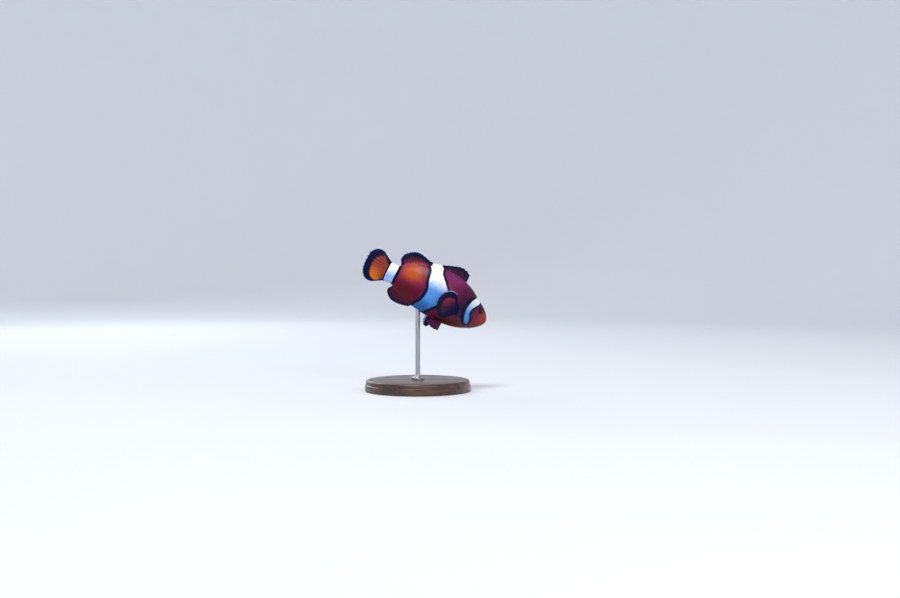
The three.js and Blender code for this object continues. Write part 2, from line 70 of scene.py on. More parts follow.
def curveAt(pairs, x):  # smooth curve through (x, value) pairs
    last = len(pairs) - 1
    i = next((k for k, pair in enumerate(pairs) if pair[0] > x), 0) - 1
    if i < 0:
        i = last - 1 if x >= pairs[last][0] else 0

    def slope(k):
        before, after = pairs[max(k - 1, 0)], pairs[min(k + 1, last)]
        return (after[1] - before[1]) / (after[0] - before[0])

    width = pairs[i + 1][0] - pairs[i][0]
    t = min(max((x - pairs[i][0]) / width, 0.0), 1.0)
    h = t * t * (3 - 2 * t)
    return (pairs[i][1] * (1 - h) + pairs[i + 1][1] * h
            + width * slope(i) * t * (1 - t) ** 2 - width * slope(i + 1) * t * t * (1 - t))


# the fish's measures; s is the share of the total length behind the snout

fish = {
    "length": 80.0,
    "pivotS": 0.45,
    "gap": 0.3,
    # s, reach above, below and to each side of the spine as shares of the length
    "stations": (
        (0.0, 0.014, 0.014, 0.012), (0.01, 0.034, 0.032, 0.028), (0.04, 0.06, 0.06, 0.046),
        (0.09, 0.087, 0.092, 0.06), (0.15, 0.111, 0.117, 0.069), (0.22, 0.143, 0.141, 0.077),
        (0.3, 0.163, 0.156, 0.081), (0.38, 0.17, 0.159, 0.079), (0.46, 0.165, 0.154, 0.073),
        (0.54, 0.149, 0.139, 0.062), (0.62, 0.12, 0.112, 0.047), (0.69, 0.087, 0.082, 0.033),
        (0.74, 0.069, 0.065, 0.023), (0.78, 0.07, 0.06, 0.015), (0.805, 0.076, 0.061, 0.009),
    ),
    "noseTip": -0.0035,
    "noseEnd": 0.01,
    "tailFrom": 0.785,  # behind this the stalk thins into the tail fin
    "tailEnd": 0.813,
    "backUp": 0.95, "backOut": 1.12, "bellyDown": 0.92, "bellyOut": 0.9,
    "headTurn": (44, 0.16, 0.5),  # degrees, from, to
    "tailTurn": (-38, 0.46, 0.95),
    "yaw": -7, "pitch": 25, "roll": -11,
    "place": (8.2512, 1.2816, 52.0),
}
fishLength = fish["length"]
reachCurves = {
    name: [(row[0], row[k]) for row in fish["stations"]]
    for k, name in ((1, "top"), (2, "bottom"), (3, "half"))
}
reachMemo = {}


def alongX(s):
    return (fish["pivotS"] - s) * fishLength


def reachAt(name, s):
    if (name, s) not in reachMemo:
        tip, end = fish["noseTip"], fish["noseEnd"]
        share = sqrt(max(s - tip, 0.0) / (end - tip)) if s < end else 1.0
        back = rise(s, fish["tailFrom"], fish["tailEnd"])
        share *= 1 - back * (0.82 if name == "half" else 0.1)
        reachMemo[name, s] = curveAt(reachCurves[name], max(s, end)) * fishLength * share
    return reachMemo[name, s]


def skinPoint(s, turn):  # turn 0 is the back, a quarter turn the left flank, half the belly
    up, out = cos(turn), sin(turn)
    onBack = up > 0
    reach = reachAt("top" if onBack else "bottom", s)
    upPower = fish["backUp"] if onBack else fish["bellyDown"]
    outPower = fish["backOut"] if onBack else fish["bellyOut"]
    return Vector((
        alongX(s),
        signed(out) * reachAt("half", s) * abs(out) ** outPower,
        signed(up) * reach * abs(up) ** upPower,
    ))


def skinNormal(s, turn, step=0.004):
    if s < fish["noseTip"] + 1e-4:
        return Vector((1, 0, 0))
    ahead = max(s - step, fish["noseTip"] + 1e-5)
    along = skinPoint(ahead, turn) - skinPoint(s + step, turn)
    around = skinPoint(s, turn - 0.01) - skinPoint(s, turn + 0.01)
    return around.cross(along).normalized()


def flankTurn(s, z):  # the turn on the left flank at a height given as a share
    reach = reachAt("top" if z > 0 else "bottom", s) / fishLength
    power = fish["backUp"] if z > 0 else fish["bellyDown"]
    return acos(signed(z) * min(abs(z) / reach, 1.0) ** (1 / power))


def spineAngle(s):
    head, headFrom, headTo = fish["headTurn"]
    tail, tailFrom, tailTo = fish["tailTurn"]
    return radians(head) * (1 - rise(s, headFrom, headTo)) + radians(tail) * rise(s, tailFrom, tailTo)


spineStep, spineStart = 0.0025, -0.1
spine = [(0.0, 0.0)]
while len(spine) < 520:
    angle = spineAngle(spineStart + (len(spine) - 0.5) * spineStep)
    x, y = spine[-1]
    spine.append((x - cos(angle) * spineStep * fishLength, y - sin(angle) * spineStep * fishLength))
pivotX, pivotY = spine[round((fish["pivotS"] - spineStart) / spineStep)]


def bent(p):
    s = fish["pivotS"] - p.x / fishLength
    place = (s - spineStart) / spineStep
    i = min(max(floor(place), 0), len(spine) - 2)
    x = lerp(spine[i][0], spine[i + 1][0], place - i) - pivotX
    y = lerp(spine[i][1], spine[i + 1][1], place - i) - pivotY
    angle = spineAngle(s)
    return Vector((x - p.y * sin(angle), y + p.y * cos(angle), p.z))


poseMatrix = (
    Matrix.Scale(mm, 4) @ Matrix.Translation(fish["place"])
    @ Matrix.Rotation(radians(fish["yaw"]), 4, "Z")
    @ Matrix.Rotation(radians(fish["pitch"]), 4, "Y")
    @ Matrix.Rotation(radians(fish["roll"]), 4, "X")
)


def posed(p):  # from the straight fish to its place on the stand, in metres
    return poseMatrix @ bent(p)


# where the white bands, their dark borders and the body's tints lie

bands = {
    # edges as (height, s), from the belly up
    "headFront": ((-0.13, 0.17), (-0.09, 0.174), (-0.063, 0.181), (-0.034, 0.199), (-0.005, 0.208),
                  (0.03, 0.192), (0.087, 0.128), (0.13, 0.085)),
    "headRear": ((-0.13, 0.18), (-0.095, 0.198), (-0.075, 0.219), (-0.045, 0.234), (-0.01, 0.241),
                 (0.025, 0.236), (0.064, 0.219), (0.11, 0.17), (0.15, 0.14)),
    "headFoot": -0.092,
    "midFront": ((-0.17, 0.482), (-0.153, 0.465), (-0.107, 0.425), (-0.073, 0.402), (-0.027, 0.385),
                 (0.041, 0.38), (0.08, 0.404), (0.132, 0.443), (0.165, 0.454), (0.25, 0.47)),
    "midRear": ((-0.17, 0.56), (-0.14, 0.537), (-0.079, 0.493), (-0.01, 0.483), (0.057, 0.503),
                (0.095, 0.511), (0.126, 0.52), (0.148, 0.538), (0.25, 0.62)),
    "stalkFront": ((-0.08, 0.748), (-0.06, 0.739), (-0.046, 0.734), (0.038, 0.729), (0.069, 0.74),
                   (0.09, 0.75)),
    # widths of the dark borders before and behind a band
    "headBorders": (1.8, 1.8),
    "midBorders": (1.15, 1.5),
    "stalkBorder": 1.9,
}


def lineGap(line, s, z, span=0.006):  # distance behind a line on the flank, square to it
    lean = (curveAt(line, z + span) - curveAt(line, z - span)) / (2 * span)
    return (s - curveAt(line, z)) * fishLength / sqrt(1 + lean * lean)


def rounded(*gaps, sharp=1.9):  # the least of some distances, its corners rounded
    least = min(gaps)
    return least - log(sum(exp(sharp * (least - gap)) for gap in gaps)) / sharp


def bandGap(s, z):  # (distance into the nearest white band, width of its dark border)
    head = (lineGap(bands["headFront"], s, z), -lineGap(bands["headRear"], s, z),
            (z - bands["headFoot"]) * fishLength)
    headGap, headBorder = rounded(*head), bands["headBorders"][head[0] > head[1]]
    outside = hypot(*(min(gap, 0.0) for gap in head))
    if outside:
        headGap = min(headGap, -outside)
    headBorder *= lerp(0.55, 1.0, rise(head[2], -1.5, 1.5))  # narrower round the band's foot
    headBorder *= lerp(1.0, 0.5, rise(z, 0.02, 0.05) if head[0] < head[1] else rise(z, 0.05, 0.13))
    mid = (lineGap(bands["midFront"], s, z), -lineGap(bands["midRear"], s, z))
    return max(
        (headGap, headBorder),
        (min(mid), bands["midBorders"][mid[0] > mid[1]] + 0.2 * rise(-z, -0.02, 0.12)),
        (lineGap(bands["stalkFront"], s, z), bands["stalkBorder"]),
    )


# soft patches of colour: amount, s, its spread, height, its spread
patches = {
    "glow": (1.3, 0.622, 0.07, 0.062, 0.057),
    # painted lilac sheen of light on the wet skin above the eye
    "paintedBrowSheen": (0.8, 0.13, 0.03, 0.07, 0.014),
    # painted shade beside the pectoral fin
    "finShade": (0.6, 0.268, 0.034, -0.05, 0.06),
}


def patch(name, s, z):
    amount, atS, spreadS, atZ, spreadZ = patches[name]
    return amount * hump(s - atS, spreadS) * hump(z - atZ, spreadZ)


def bodyTints(s, z):  # glow or, below 0, painted lilac sheen; nape, lower, snout, belly
    glow = min(1.0, patch("glow", s, z)) - patch("paintedBrowSheen", s, z)
    glow -= 0.2 * rise(z, 0.08, 0.13) * hump(s - 0.37, 0.07)  # a trace of painted sheen below the spines
    nape = rise(z, 0.05, 0.13) * rise(s, 0.13, 0.2) * rise(-s, -0.36, -0.2)
    # painted sheen: violet on the forehead, laid in the nape's tint
    crown = lerp(0.012, 0.035, rise(s, 0.03, 0.1))
    nape += 0.8 * rise(z, crown, 0.075) * rise(-s, -0.16, -0.11)
    nape += 0.42 * rise(s, 0.1, 0.15) * rise(-s, -0.2, -0.17) * rise(z, -0.1, -0.05)  # lower cheek, darkened as painted shade
    # painted shade round the pectoral fin's base and beside it
    nape += 0.75 * hump(s - 0.275, 0.055) * rise(z, -0.1, -0.04) * rise(-z, -0.13, -0.05)
    nape += patch("finShade", s, z)
    nape += 0.4 * hump(s - 0.54, 0.028) * rise(z, 0.03, 0.09)  # beside the middle band
    nape += 0.3 * hump(s - 0.5, 0.035) * rise(-z, -0.05, 0.0)
    nape += 0.35 * hump(s - 0.4, 0.04) * rise(-z, 0.08, 0.12)
    lower = rise(s, 0.44, 0.56) * rise(-z, -0.03, 0.06)
    snout = rise(-s, -0.165, -0.09) * rise(-z, -0.075, -0.03)
    back = rise(s, 0.08, 0.2)
    belly = rise(-s, -0.44, -0.34) * rise(-z, lerp(0.01, 0.05, back), lerp(0.085, 0.125, back))
    return glow, min(nape, 1.0), lower, snout, belly


# shader helpers

def tint(red, green, blue):  # screen colour to the linear one that nodes take
    return tuple(c / 12.92 if c <= 0.04045 else ((c + 0.055) / 1.055) ** 2.4
                 for c in (red, green, blue)) + (1.0,)


def put(tree, kind, inputs=(), **settings):
    node = tree.nodes.new("ShaderNode" + kind)
    for name, value in settings.items():
        setattr(node, name, value)
    for name, value in dict(inputs).items():
        if isinstance(value, bpy.types.NodeSocket):
            tree.links.new(value, node.inputs[name])
        else:
            node.inputs[name].default_value = value
    return node


def sums(tree, operation, a, b, clamp=False):
    return put(tree, "Math", {0: a, 1: b}, operation=operation, use_clamp=clamp).outputs[0]


def plus(tree, a, b):
    return sums(tree, "ADD", a, b)


def minus(tree, a, b):
    return sums(tree, "SUBTRACT", a, b)


def times(tree, a, b):
    return sums(tree, "MULTIPLY", a, b)


def step(tree, value, low, high, least=0.0, most=1.0):
    return put(tree, "MapRange", {"Value": value, "From Min": low, "From Max": high,
                                  "To Min": least, "To Max": most},
               interpolation_type="SMOOTHSTEP").outputs[0]


def mixed(tree, factor, a, b, mode="MIX"):
    return put(tree, "Mix", {0: factor, 6: a, 7: b}, data_type="RGBA", blend_type=mode).outputs[2]


def grain(tree, scale, detail=3.0, rough=0.55):
    where = put(tree, "TexCoord").outputs["Object"]
    return put(tree, "TexNoise", {"Vector": where, "Scale": scale, "Detail": detail,
                                  "Roughness": rough}).outputs["Fac"]


def wobble(tree, scale, detail, amount):  # noise about zero
    return times(tree, minus(tree, grain(tree, scale, detail), 0.5), amount)


def split(tree, name):  # the three numbers of a point attribute
    found = put(tree, "Attribute", attribute_name=name)
    return put(tree, "SeparateXYZ", {0: found.outputs["Vector"]}).outputs


def wire(tree, ends, **sockets):
    for name, socket in sockets.items():
        tree.links.new(socket, ends[name.replace("_", " ")])


def newGroup(name, inputs, outputs):
    group = bpy.data.node_groups.new(name, "ShaderNodeTree")
    for way, sockets in (("INPUT", inputs), ("OUTPUT", outputs)):
        for socket, kind in sockets.items():
            group.interface.new_socket(socket, in_out=way, socket_type="NodeSocket" + kind)
    return group, group.nodes.new("NodeGroupInput").outputs, group.nodes.new("NodeGroupOutput").inputs


def use(tree, group, inputs):
    return put(tree, "Group", inputs, node_tree=group).outputs


def newMaterial(name, **shader):
    material = bpy.data.materials.new(name)
    material.use_nodes = True
    tree = material.node_tree
    principled = tree.nodes["Principled BSDF"]
    for socket, value in shader.items():
        principled.inputs[socket.replace("_", " ")].default_value = value
    return material, tree, principled.inputs


def makeMottle():  # soft blotches of lighter and darker pigment
    tree, given, out = newGroup(
        "pigment mottle", {"Colour": "Color", "Scale": "Float", "Amount": "Float"}, {"Colour": "Color"})
    coarse = times(tree, grain(tree, given["Scale"], 4.0, 0.6), 0.7)
    both = plus(tree, coarse, times(tree, grain(tree, 5200.0, 2.0), 0.3))
    level = plus(tree, times(tree, minus(tree, both, 0.5), given["Amount"]), 1.0)
    grey = put(tree, "CombineColor", {0: level, 1: level, 2: level}).outputs[0]
    wire(tree, out, Colour=mixed(tree, 1.0, given["Colour"], grey, "MULTIPLY"))
    return tree


bandLook = {
    # painted shade: blue on the lower part of the white bands, deepest at the bottom
    "deepShadeBlue": tint(0.14, 0.37, 0.62),
    "paleShadeBlue": tint(0.32, 0.58, 0.87),
    "white": tint(0.96, 0.97, 0.99),
    "border": tint(0.01, 0.02, 0.2),
    "shadeFadesFrom": 0.3,  # the height from which the painted shade's pale blue turns to white
}


def makeBandPaint():  # white band with a ragged dark border, in millimetres; blue painted shade at its foot, deeper lower down
    tree, given, out = newGroup(
        "white band",
        {"Colour": "Color", "Distance": "Float", "Border Width": "Float", "Height": "Float"},
        {"Colour": "Color", "White": "Float", "Dark": "Float"})
    inside = plus(tree, given["Distance"], wobble(tree, 1300.0, 2.0, 0.45))
    border = plus(tree, given["Border Width"], wobble(tree, 260.0, 1.0, 0.5))
    dark = step(tree, plus(tree, inside, border), -0.22, 0.2)
    white = step(tree, inside, -0.1, 0.12)
    shadeFadesFrom = bandLook["shadeFadesFrom"]
    blue = mixed(tree, sums(tree, "DIVIDE", given["Height"], shadeFadesFrom, True),
                 bandLook["deepShadeBlue"], bandLook["paleShadeBlue"])
    above = sums(tree, "SUBTRACT", given["Height"], shadeFadesFrom, True)
    whiteHue = mixed(tree, times(tree, above, 1 / (1 - shadeFadesFrom)), blue, bandLook["white"])
    speckled = use(tree, mottle, {"Colour": whiteHue, "Scale": 420.0, "Amount": 0.75})["Colour"]
    withDark = mixed(tree, dark, given["Colour"], bandLook["border"])
    wire(tree, out, Colour=mixed(tree, white, withDark, speckled), White=white, Dark=dark)
    return tree


def makeWetSkin():  # wet, faintly uneven surface
    tree, given, out = newGroup(
        "wet skin", {"Roughness": "Float", "Spread": "Float", "Strength": "Float"},
        {"Roughness": "Float", "Normal": "Vector"})
    rough = sums(tree, "ADD", given["Roughness"], wobble(tree, 700.0, 3.0, given["Spread"]), True)
    bumps = put(tree, "Bump", {"Strength": given["Strength"], "Distance": 0.0001,
                               "Height": grain(tree, 3800.0, 2.0)})
    wire(tree, out, Roughness=rough, Normal=bumps.outputs[0])
    return tree


skinLook = {
    "shoulder": tint(0.55, 0.09, 0.31),
    "Glow": tint(0.82, 0.34, 0.05),
    "Lower": tint(0.37, 0.0, 0.1),
    "Snout": tint(0.65, 0.15, 0.1),
    # the belly's colour, darkened as painted shade on the underside
    "Belly": tint(0.37, 0.09, 0.08),
    "Nape": tint(0.16, 0.03, 0.22),
    # pale lilac of painted sheen on the wet skin
    "PaintedSheen": tint(0.42, 0.38, 0.66),
    # edge is the tint of painted shade at the scale rims and in the skin's folds, weaker on white
    "edge": tint(0.1, 0.03, 0.08),
    "rimAndFoldShade": 0.5, "rimAndFoldShadeOnWhite": 0.12,
    "gloss": 0.09, "borderGloss": 0.01,
    "wet": {"Roughness": 0.38, "Spread": 0.3, "Strength": 0.25},
}
regionNames = ("Glow", "Lower", "Snout", "Belly", "Nape", "PaintedSheen")


def makePigment():  # the ground colour of skin and fin roots, from wine red to orange
    tree, given, out = newGroup(
        "ground colour", {name: "Float" for name in regionNames}, {"Colour": "Color"})
    colour = skinLook["shoulder"]
    for name in regionNames:
        colour = mixed(tree, given[name], colour, skinLook[name])
    wire(tree, out, Colour=colour)
    return tree


mottle, wetSkin, pigment = makeMottle(), makeWetSkin(), makePigment()
bandPaint = makeBandPaint()


def groundColour(tree):
    glow, nape, lower = split(tree, "tints")
    snout, belly, height = split(tree, "regions")
    # glow below zero carries the painted lilac sheen
    paintedSheen = sums(tree, "MULTIPLY", glow, -1.0, True)
    return use(tree, pigment, {"Glow": glow, "Nape": nape, "Lower": lower, "Snout": snout,
                               "Belly": belly, "PaintedSheen": paintedSheen})["Colour"], height


def makeSkinMaterial():
    material, tree, shader = newMaterial(
        "scaled skin", Coat_Roughness=0.12, Subsurface_Weight=0.05, Subsurface_Scale=0.0008,
        Specular_IOR_Level=0.12)
    # the third number of the marks is how much painted shade a place takes, at scale rims and in folds
    band, border, edge = split(tree, "marks")
    colour, height = groundColour(tree)
    colour = use(tree, mottle, {"Colour": colour, "Scale": 300.0, "Amount": 0.85})["Colour"]
    painted = use(tree, bandPaint, {"Colour": colour, "Distance": band, "Border Width": border,
                                    "Height": height})
    shade = times(tree, edge, step(
        tree, painted["White"], 0.0, 1.0, skinLook["rimAndFoldShade"], skinLook["rimAndFoldShadeOnWhite"]))
    velvet = minus(tree, painted["Dark"], painted["White"])
    wet = use(tree, wetSkin, skinLook["wet"])
    wire(tree, shader,
         Base_Color=mixed(tree, shade, painted["Colour"], skinLook["edge"], "MULTIPLY"),
         Coat_Weight=step(tree, velvet, 0.0, 1.0, skinLook["gloss"], skinLook["borderGloss"]),
         Roughness=wet["Roughness"], Normal=wet["Normal"])
    return material


# finishing of meshes

def closeUp(bm):  # poles and seams merged, faces outwards and smooth
    bmesh.ops.remove_doubles(bm, verts=bm.verts, dist=2e-6)
    bm.normal_update()  # moved points leave old normals behind
    bmesh.ops.recalc_face_normals(bm, faces=bm.faces)
    for face in bm.faces:
        face.smooth = True


def addObject(name, data):
    made = bpy.data.objects.new(name, data)
    bpy.context.scene.collection.objects.link(made)
    return made


def meshObject(name, bm, material):
    mesh = bpy.data.meshes.new(name)
    bm.to_mesh(mesh)
    bm.free()
    mesh.materials.append(material)
    return addObject(name, mesh)


def finishPiece(name, bm, material, nodes=()):
    piece = meshObject(name, bm, material)
    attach(piece, "root")
    if nodes:
        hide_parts(*nodes)


# skin of the whole body, from the lips to the tail stalk

mouth = {"cornerS": 0.044, "tipZ": 0.001, "cornerZ": -0.021, "fades": (0.037, 0.053)}
eye = {"s": 0.114, "z": 0.046, "radius": 2.4, "halfDepth": 1.45, "proud": 0.7, "socket": (1.6, 2.35)}
nostril = {"s": 0.07, "z": 0.045}
# lines of the head as (height, s), from the throat up
coverEdge = ((-0.106, 0.188), (-0.086, 0.226), (-0.042, 0.247), (0.01, 0.2535), (0.055, 0.238),
             (0.074, 0.205))
cheekLine = ((-0.085, 0.14), (-0.05, 0.165), (0.0, 0.172), (0.05, 0.163))
# ridges and grooves of the skin in millimetres: height, place, width
ridges = {
    "lips": (0.2, 0.55, 0.42), "mouthSlit": (-0.42, 0.0, 0.16), "mouthCorner": (-0.16, 0.0, 0.5),
    "eyeRing": (0.27, 2.62, 0.34),
    "nostrilRim": (0.14, 0.5, 0.2), "nostrilPit": (-0.42, 0.0, 0.3),
    "coverGroove": (-0.2, -0.42, 0.3),
    "cheekSwell": (0.07, -0.7, 0.6), "cheekGroove": (-0.13, 0.0, 0.28),
}
skinUneven = {"height": 0.05, "scale": 0.22}
eyeTurn = flankTurn(eye["s"], eye["z"])
eyeSpot = skinPoint(eye["s"], eyeTurn)
nostrilSpot = skinPoint(nostril["s"], flankTurn(nostril["s"], nostril["z"]))


def ridge(name, distance):
    height, place, width = ridges[name]
    return height * hump(distance - place, width)


def mouthGap(s, z):  # height above the line between the lips
    along = min(max(s / mouth["cornerS"], 0.0), 1.3)
    return (z - lerp(mouth["tipZ"], mouth["cornerZ"], along ** 1.3)) * fishLength


def coverGap(s, z):  # distance in front of the gill cover's rear edge
    if not coverEdge[0][0] < z < coverEdge[-1][0]:
        return fishLength
    return -lineGap(coverEdge, s, z, 0.004)


def coverShare(z):  # the cover's edge runs out above and below
    return rise(z, -0.106, -0.08) * rise(-z, -0.074, -0.05)


def cheekGap(s, z):  # distance behind the cheek's rear edge
    if not cheekLine[0][0] < z < cheekLine[-1][0]:
        return fishLength
    return (s - curveAt(cheekLine, z)) * fishLength


def faceGaps(p):  # distances from the eye and the nostril of the same side
    side = Vector((p.x, abs(p.y), p.z))
    return (side - eyeSpot).length, (side - nostrilSpot).length


def relief(s, p):  # how far the real skin stands off the plain body
    z = p.z / fishLength
    height = skinUneven["height"] * noise.noise(p * skinUneven["scale"])
    if s < 0.075:
        gap = mouthGap(s, z)
        height += (1 - rise(s, *mouth["fades"])) * (ridge("lips", abs(gap)) + ridge("mouthSlit", gap))
        height += ridge("mouthCorner", (s - 0.05) * fishLength) * hump(gap, 1.1)
    if s < 0.2:
        fromEye, fromNostril = faceGaps(p)
        height += ridge("eyeRing", fromEye) - 1.15 * (1 - rise(fromEye, *eye["socket"]))
        height += ridge("nostrilRim", fromNostril) + ridge("nostrilPit", fromNostril)
    if 0.1 < s < 0.3:
        gap, away = coverGap(s, z), cheekGap(s, z)
        lip = 0.42 * rise(gap, -0.18, 0.2) * (1 - rise(gap, 0.8, 7))
        height += coverShare(z) * (lip + ridge("coverGroove", gap))
        height += ridge("cheekSwell", away) + ridge("cheekGroove", away)
    if 0.2 < s < 0.36:  # the muscle at the pectoral fin's base
        lobe = hypot((s - 0.28) * fishLength / 1.5, (z + 0.048) * fishLength / 3.0)
        height += 0.5 * (1 - rise(lobe, 0.45, 1.25))
    if p.z > 0:  # keels that carry the fins of the back and of the belly
        rear = rise(s, 0.48, 0.56)
        keel = lerp(0.4, 0.8, rear) * hump(p.y, lerp(1.1, 1.7, rear))
        height += keel * rise(s, 0.26, 0.3) * rise(-s, -0.75, -0.72)
    else:
        height += 0.9 * hump(p.y, 1.8) * rise(s, 0.53, 0.58) * rise(-s, -0.74, -0.7)
    return height


def crease(s, p):  # how deep in a fold of the skin a place is
    z = p.z / fishLength
    depth = 0.0
    if s < 0.075:
        depth += (1 - rise(s, 0.039, 0.055)) * hump(mouthGap(s, z), 0.24)
    if s < 0.2:
        fromEye, fromNostril = faceGaps(p)
        depth += 1 - rise(fromEye, 2.1, 2.6) + hump(fromNostril, 0.4)
    if 0.1 < s < 0.3:
        depth += coverShare(z) * hump(coverGap(s, z) + 0.36, 0.24)
        depth += 0.4 * hump(cheekGap(s, z), 0.3)
    return min(depth, 1.0)


def skinSpot(s, turn, lift=0.0):
    p = skinPoint(s, turn)
    return posed(p + skinNormal(s, turn) * (relief(s, p) + lift))


def paintSkinVert(vert, layers, s, z, rimAndFoldShade):
    glow, nape, lower, snout, belly = bodyTints(s, z)
    gap, border = bandGap(s, z)
    vert[layers["marks"]] = (gap, border, rimAndFoldShade)
    vert[layers["tints"]] = (glow, nape, lower)
    # height of a place for the bands' painted shade, lower towards the rear of the middle band
    low = lerp(lerp(-0.025, -0.005, rise(s, 0.25, 0.35)), -0.05, rise(s, 0.6, 0.74))
    up = z + 0.3 * (0.45 - s) * rise(s, 0.3, 0.36) * rise(-s, -0.66, -0.6) * rise(-z, -0.02, 0.05)
    height = 0.3 * rise(up, -0.13, -0.035) + 0.7 * rise(up, low, low + 0.1)
    height = max(height, 0.45 * rise(s, 0.6, 0.74))
    vert[layers["regions"]] = (snout, belly, height)


def skinLayers(bm):
    return {name: bm.verts.layers.float_vector.new(name) for name in ("marks", "tints", "regions")}


def makeSkin(material):
    around = 192  # points of a ring
    rings = [fish["noseTip"] + (fish["noseEnd"] - fish["noseTip"]) * (k / 16) ** 2 for k in range(17)]
    while rings[-1] < fish["tailEnd"]:
        s = rings[-1]
        rings.append(s + lerp(lerp(0.0016, 0.0028, rise(s, 0.04, 0.08)), 0.0045, rise(s, 0.26, 0.34)))
    rows = len(rings)  # one more row closes the tail end
    bm = bmesh.new()
    bm.loops.layers.uv.new("OFBake")
    bmesh.ops.create_grid(bm, x_segments=around, y_segments=rows, size=1, calc_uvs=True)
    layers = skinLayers(bm)
    for vert in bm.verts:
        row = round((vert.co.y + 1) / 2 * rows)
        turn = 2 * pi * (vert.co.x + 1) / 2
        s = rings[min(row, rows - 1)]
        p = skinPoint(s, turn)
        # painted shade deepens with the depth of the skin's folds
        paintSkinVert(vert, layers, s, p.z / fishLength, 0.4 + 1.4 * crease(s, p))
        if row == rows:
            vert.co = posed(Vector((alongX(s), 0, 0)))
        else:
            vert.co = skinSpot(s, turn)
    closeUp(bm)
    print("skin:", len(bm.verts), "points in", rows, "rings")
    finishPiece("bodySkin", bm, material,
                ("head", "lower_jaw", "gill_cover_left", "gill_cover_right", "trunk", "rear_body",
                 "tail_stalk"))


skinMaterial = makeSkinMaterial()
makeSkin(skinMaterial)


# scales, in staggered rows that shrink towards the tail

scales = {
    "fromS": 0.118,
    "toS": 0.806,
    # s, height of a scale's place on the flank
    "places": ((0.118, 0.85), (0.2, 1.15), (0.32, 1.5), (0.5, 1.5), (0.66, 1.15), (0.8, 0.8)),
    "rowPitch": 0.56,
    "length": 1.62, "width": 1.16,
    "crown": 0.035, "rim": 0.05, "tilt": 0.075,
    "apex": 0.12,  # the crown lies behind the middle
    "sizes": (0.95, 1.05), "tilts": (-0.012, 0.012),
    "patch": 0.003,
    "eyeBare": 3.5, "keelBare": 1.0, "bellyKeelBare": 0.9,
}


def flankPlaces(s, place, stagger):  # (turn, turn of one place) down the left flank
    steps = 120
    lengths, before = [0.0], skinPoint(s, 0)
    for k in range(1, steps + 1):
        here = skinPoint(s, pi * k / steps)
        lengths.append(lengths[-1] + (here - before).length)
        before = here

    def turnAt(length):
        k = next(k for k in range(steps) if lengths[k + 1] >= length or k == steps - 1)
        return pi * (k + (length - lengths[k]) / (lengths[k + 1] - lengths[k])) / steps

    middle = lengths[steps // 2]
    first = (middle / place - stagger) % 1.0
    count = floor(lengths[-1] / place - first) + 1
    found = []
    for k in range(count):
        length = (first + k) * place
        low, high = max(length - place / 2, 0.0), min(length + place / 2, lengths[-1])
        found.append((turnAt(length), (turnAt(high) - turnAt(low)) * place / (high - low)))
    return found


def bareSkin(s, p):  # where no scales grow
    z = p.z / fishLength
    face = 0.128 + 0.1 * rise(-z, -0.02, 0.13) * rise(-s, -0.2, -0.1)
    if s < face or faceGaps(p)[0] < scales["eyeBare"]:
        return True
    if -0.8 < coverGap(s, z) < 0.75 or abs(cheekGap(s, z)) < 0.7:
        return True
    if p.z > 0:
        return 0.27 < s < 0.735 and abs(p.y) < scales["keelBare"]
    return 0.545 < s < 0.725 and abs(p.y) < scales["bellyKeelBare"]


def makeScales(material):
    random.seed(7)
    spots = []
    s, row = scales["fromS"], 0
    while s < scales["toS"]:
        place = curveAt(scales["places"], s)
        for turn, turnStep in flankPlaces(s, place, 0.5 * (row % 2)):
            if not bareSkin(s, skinPoint(s, turn)):
                spots += [(s, turn, turnStep, place), (s, -turn, turnStep, place)]
        s += scales["rowPitch"] * place / fishLength
        row += 1
    dome = bmesh.new()
    bmesh.ops.create_cone(dome, cap_ends=True, segments=14, radius1=0.5, radius2=0, depth=1,
                          matrix=Matrix.Translation((0, 0, 0.5)))
    for vert in dome.verts:
        if vert.co.z > 0.5:
            vert.co.x = scales["apex"]
    for face in dome.faces:
        face.smooth = True
        if len(face.verts) > 3:
            for rim in face.edges:
                rim.smooth = False
    # laid on the flank a scale comes out mirrored, which turns its faces outwards again
    bmesh.ops.reverse_faces(dome, faces=dome.faces)
    template = bpy.data.meshes.new("scaleDome")
    dome.to_mesh(template)
    dome.free()
    bm = bmesh.new()
    for spot in spots:
        bm.from_mesh(template)
    each = len(template.vertices)
    bm.verts.ensure_lookup_table()
    layers = skinLayers(bm)
    uvMap = bm.loops.layers.uv.new("OFBake")
    for k, (s, turn, turnStep, place) in enumerate(spots):
        size = random.uniform(*scales["sizes"]) * place
        lean = scales["tilt"] + random.uniform(*scales["tilts"])
        for vert in bm.verts[k * each:(k + 1) * each]:
            x, y, z = vert.co
            along, aside = x * scales["length"] * size, y * scales["width"] * size
            lift = z * (scales["crown"] + scales["rim"]) + along * lean - scales["rim"] * 0.4
            vertS, vertTurn = s + along / fishLength, turn + aside / place * turnStep
            vert.co = skinSpot(vertS, vertTurn, lift)
            paintSkinVert(vert, layers, vertS, skinPoint(vertS, vertTurn).z / fishLength,
                          # painted shade on each scale's rim, none on its crown
                          0.0 if z > 0.5 else 1.0)
            for loop in vert.link_loops:
                loop[uvMap].uv = ((turn / (2 * pi)) % 1.0 + y * scales["patch"], s + x * scales["patch"])
    bpy.data.meshes.remove(template)
    print("scales:", len(spots), "in", row, "rows,", len(bm.faces), "faces")
    finishPiece("bodyScales", bm, material)


makeScales(skinMaterial)


# eyes

eyeLook = {
    "pupil": tint(0.02, 0.0, 0.06),
    "ring": tint(0.28, 0.09, 0.12),
    "iris": tint(0.09, 0.01, 0.24),
    "fleck": tint(0.22, 0.06, 0.18),
    # painted sheen of light from above on the iris's upper part
    "paintedIrisSheen": tint(0.4, 0.36, 0.66),
    "rim": tint(0.03, 0.015, 0.1),
    "pupilRadius": 0.46,
}


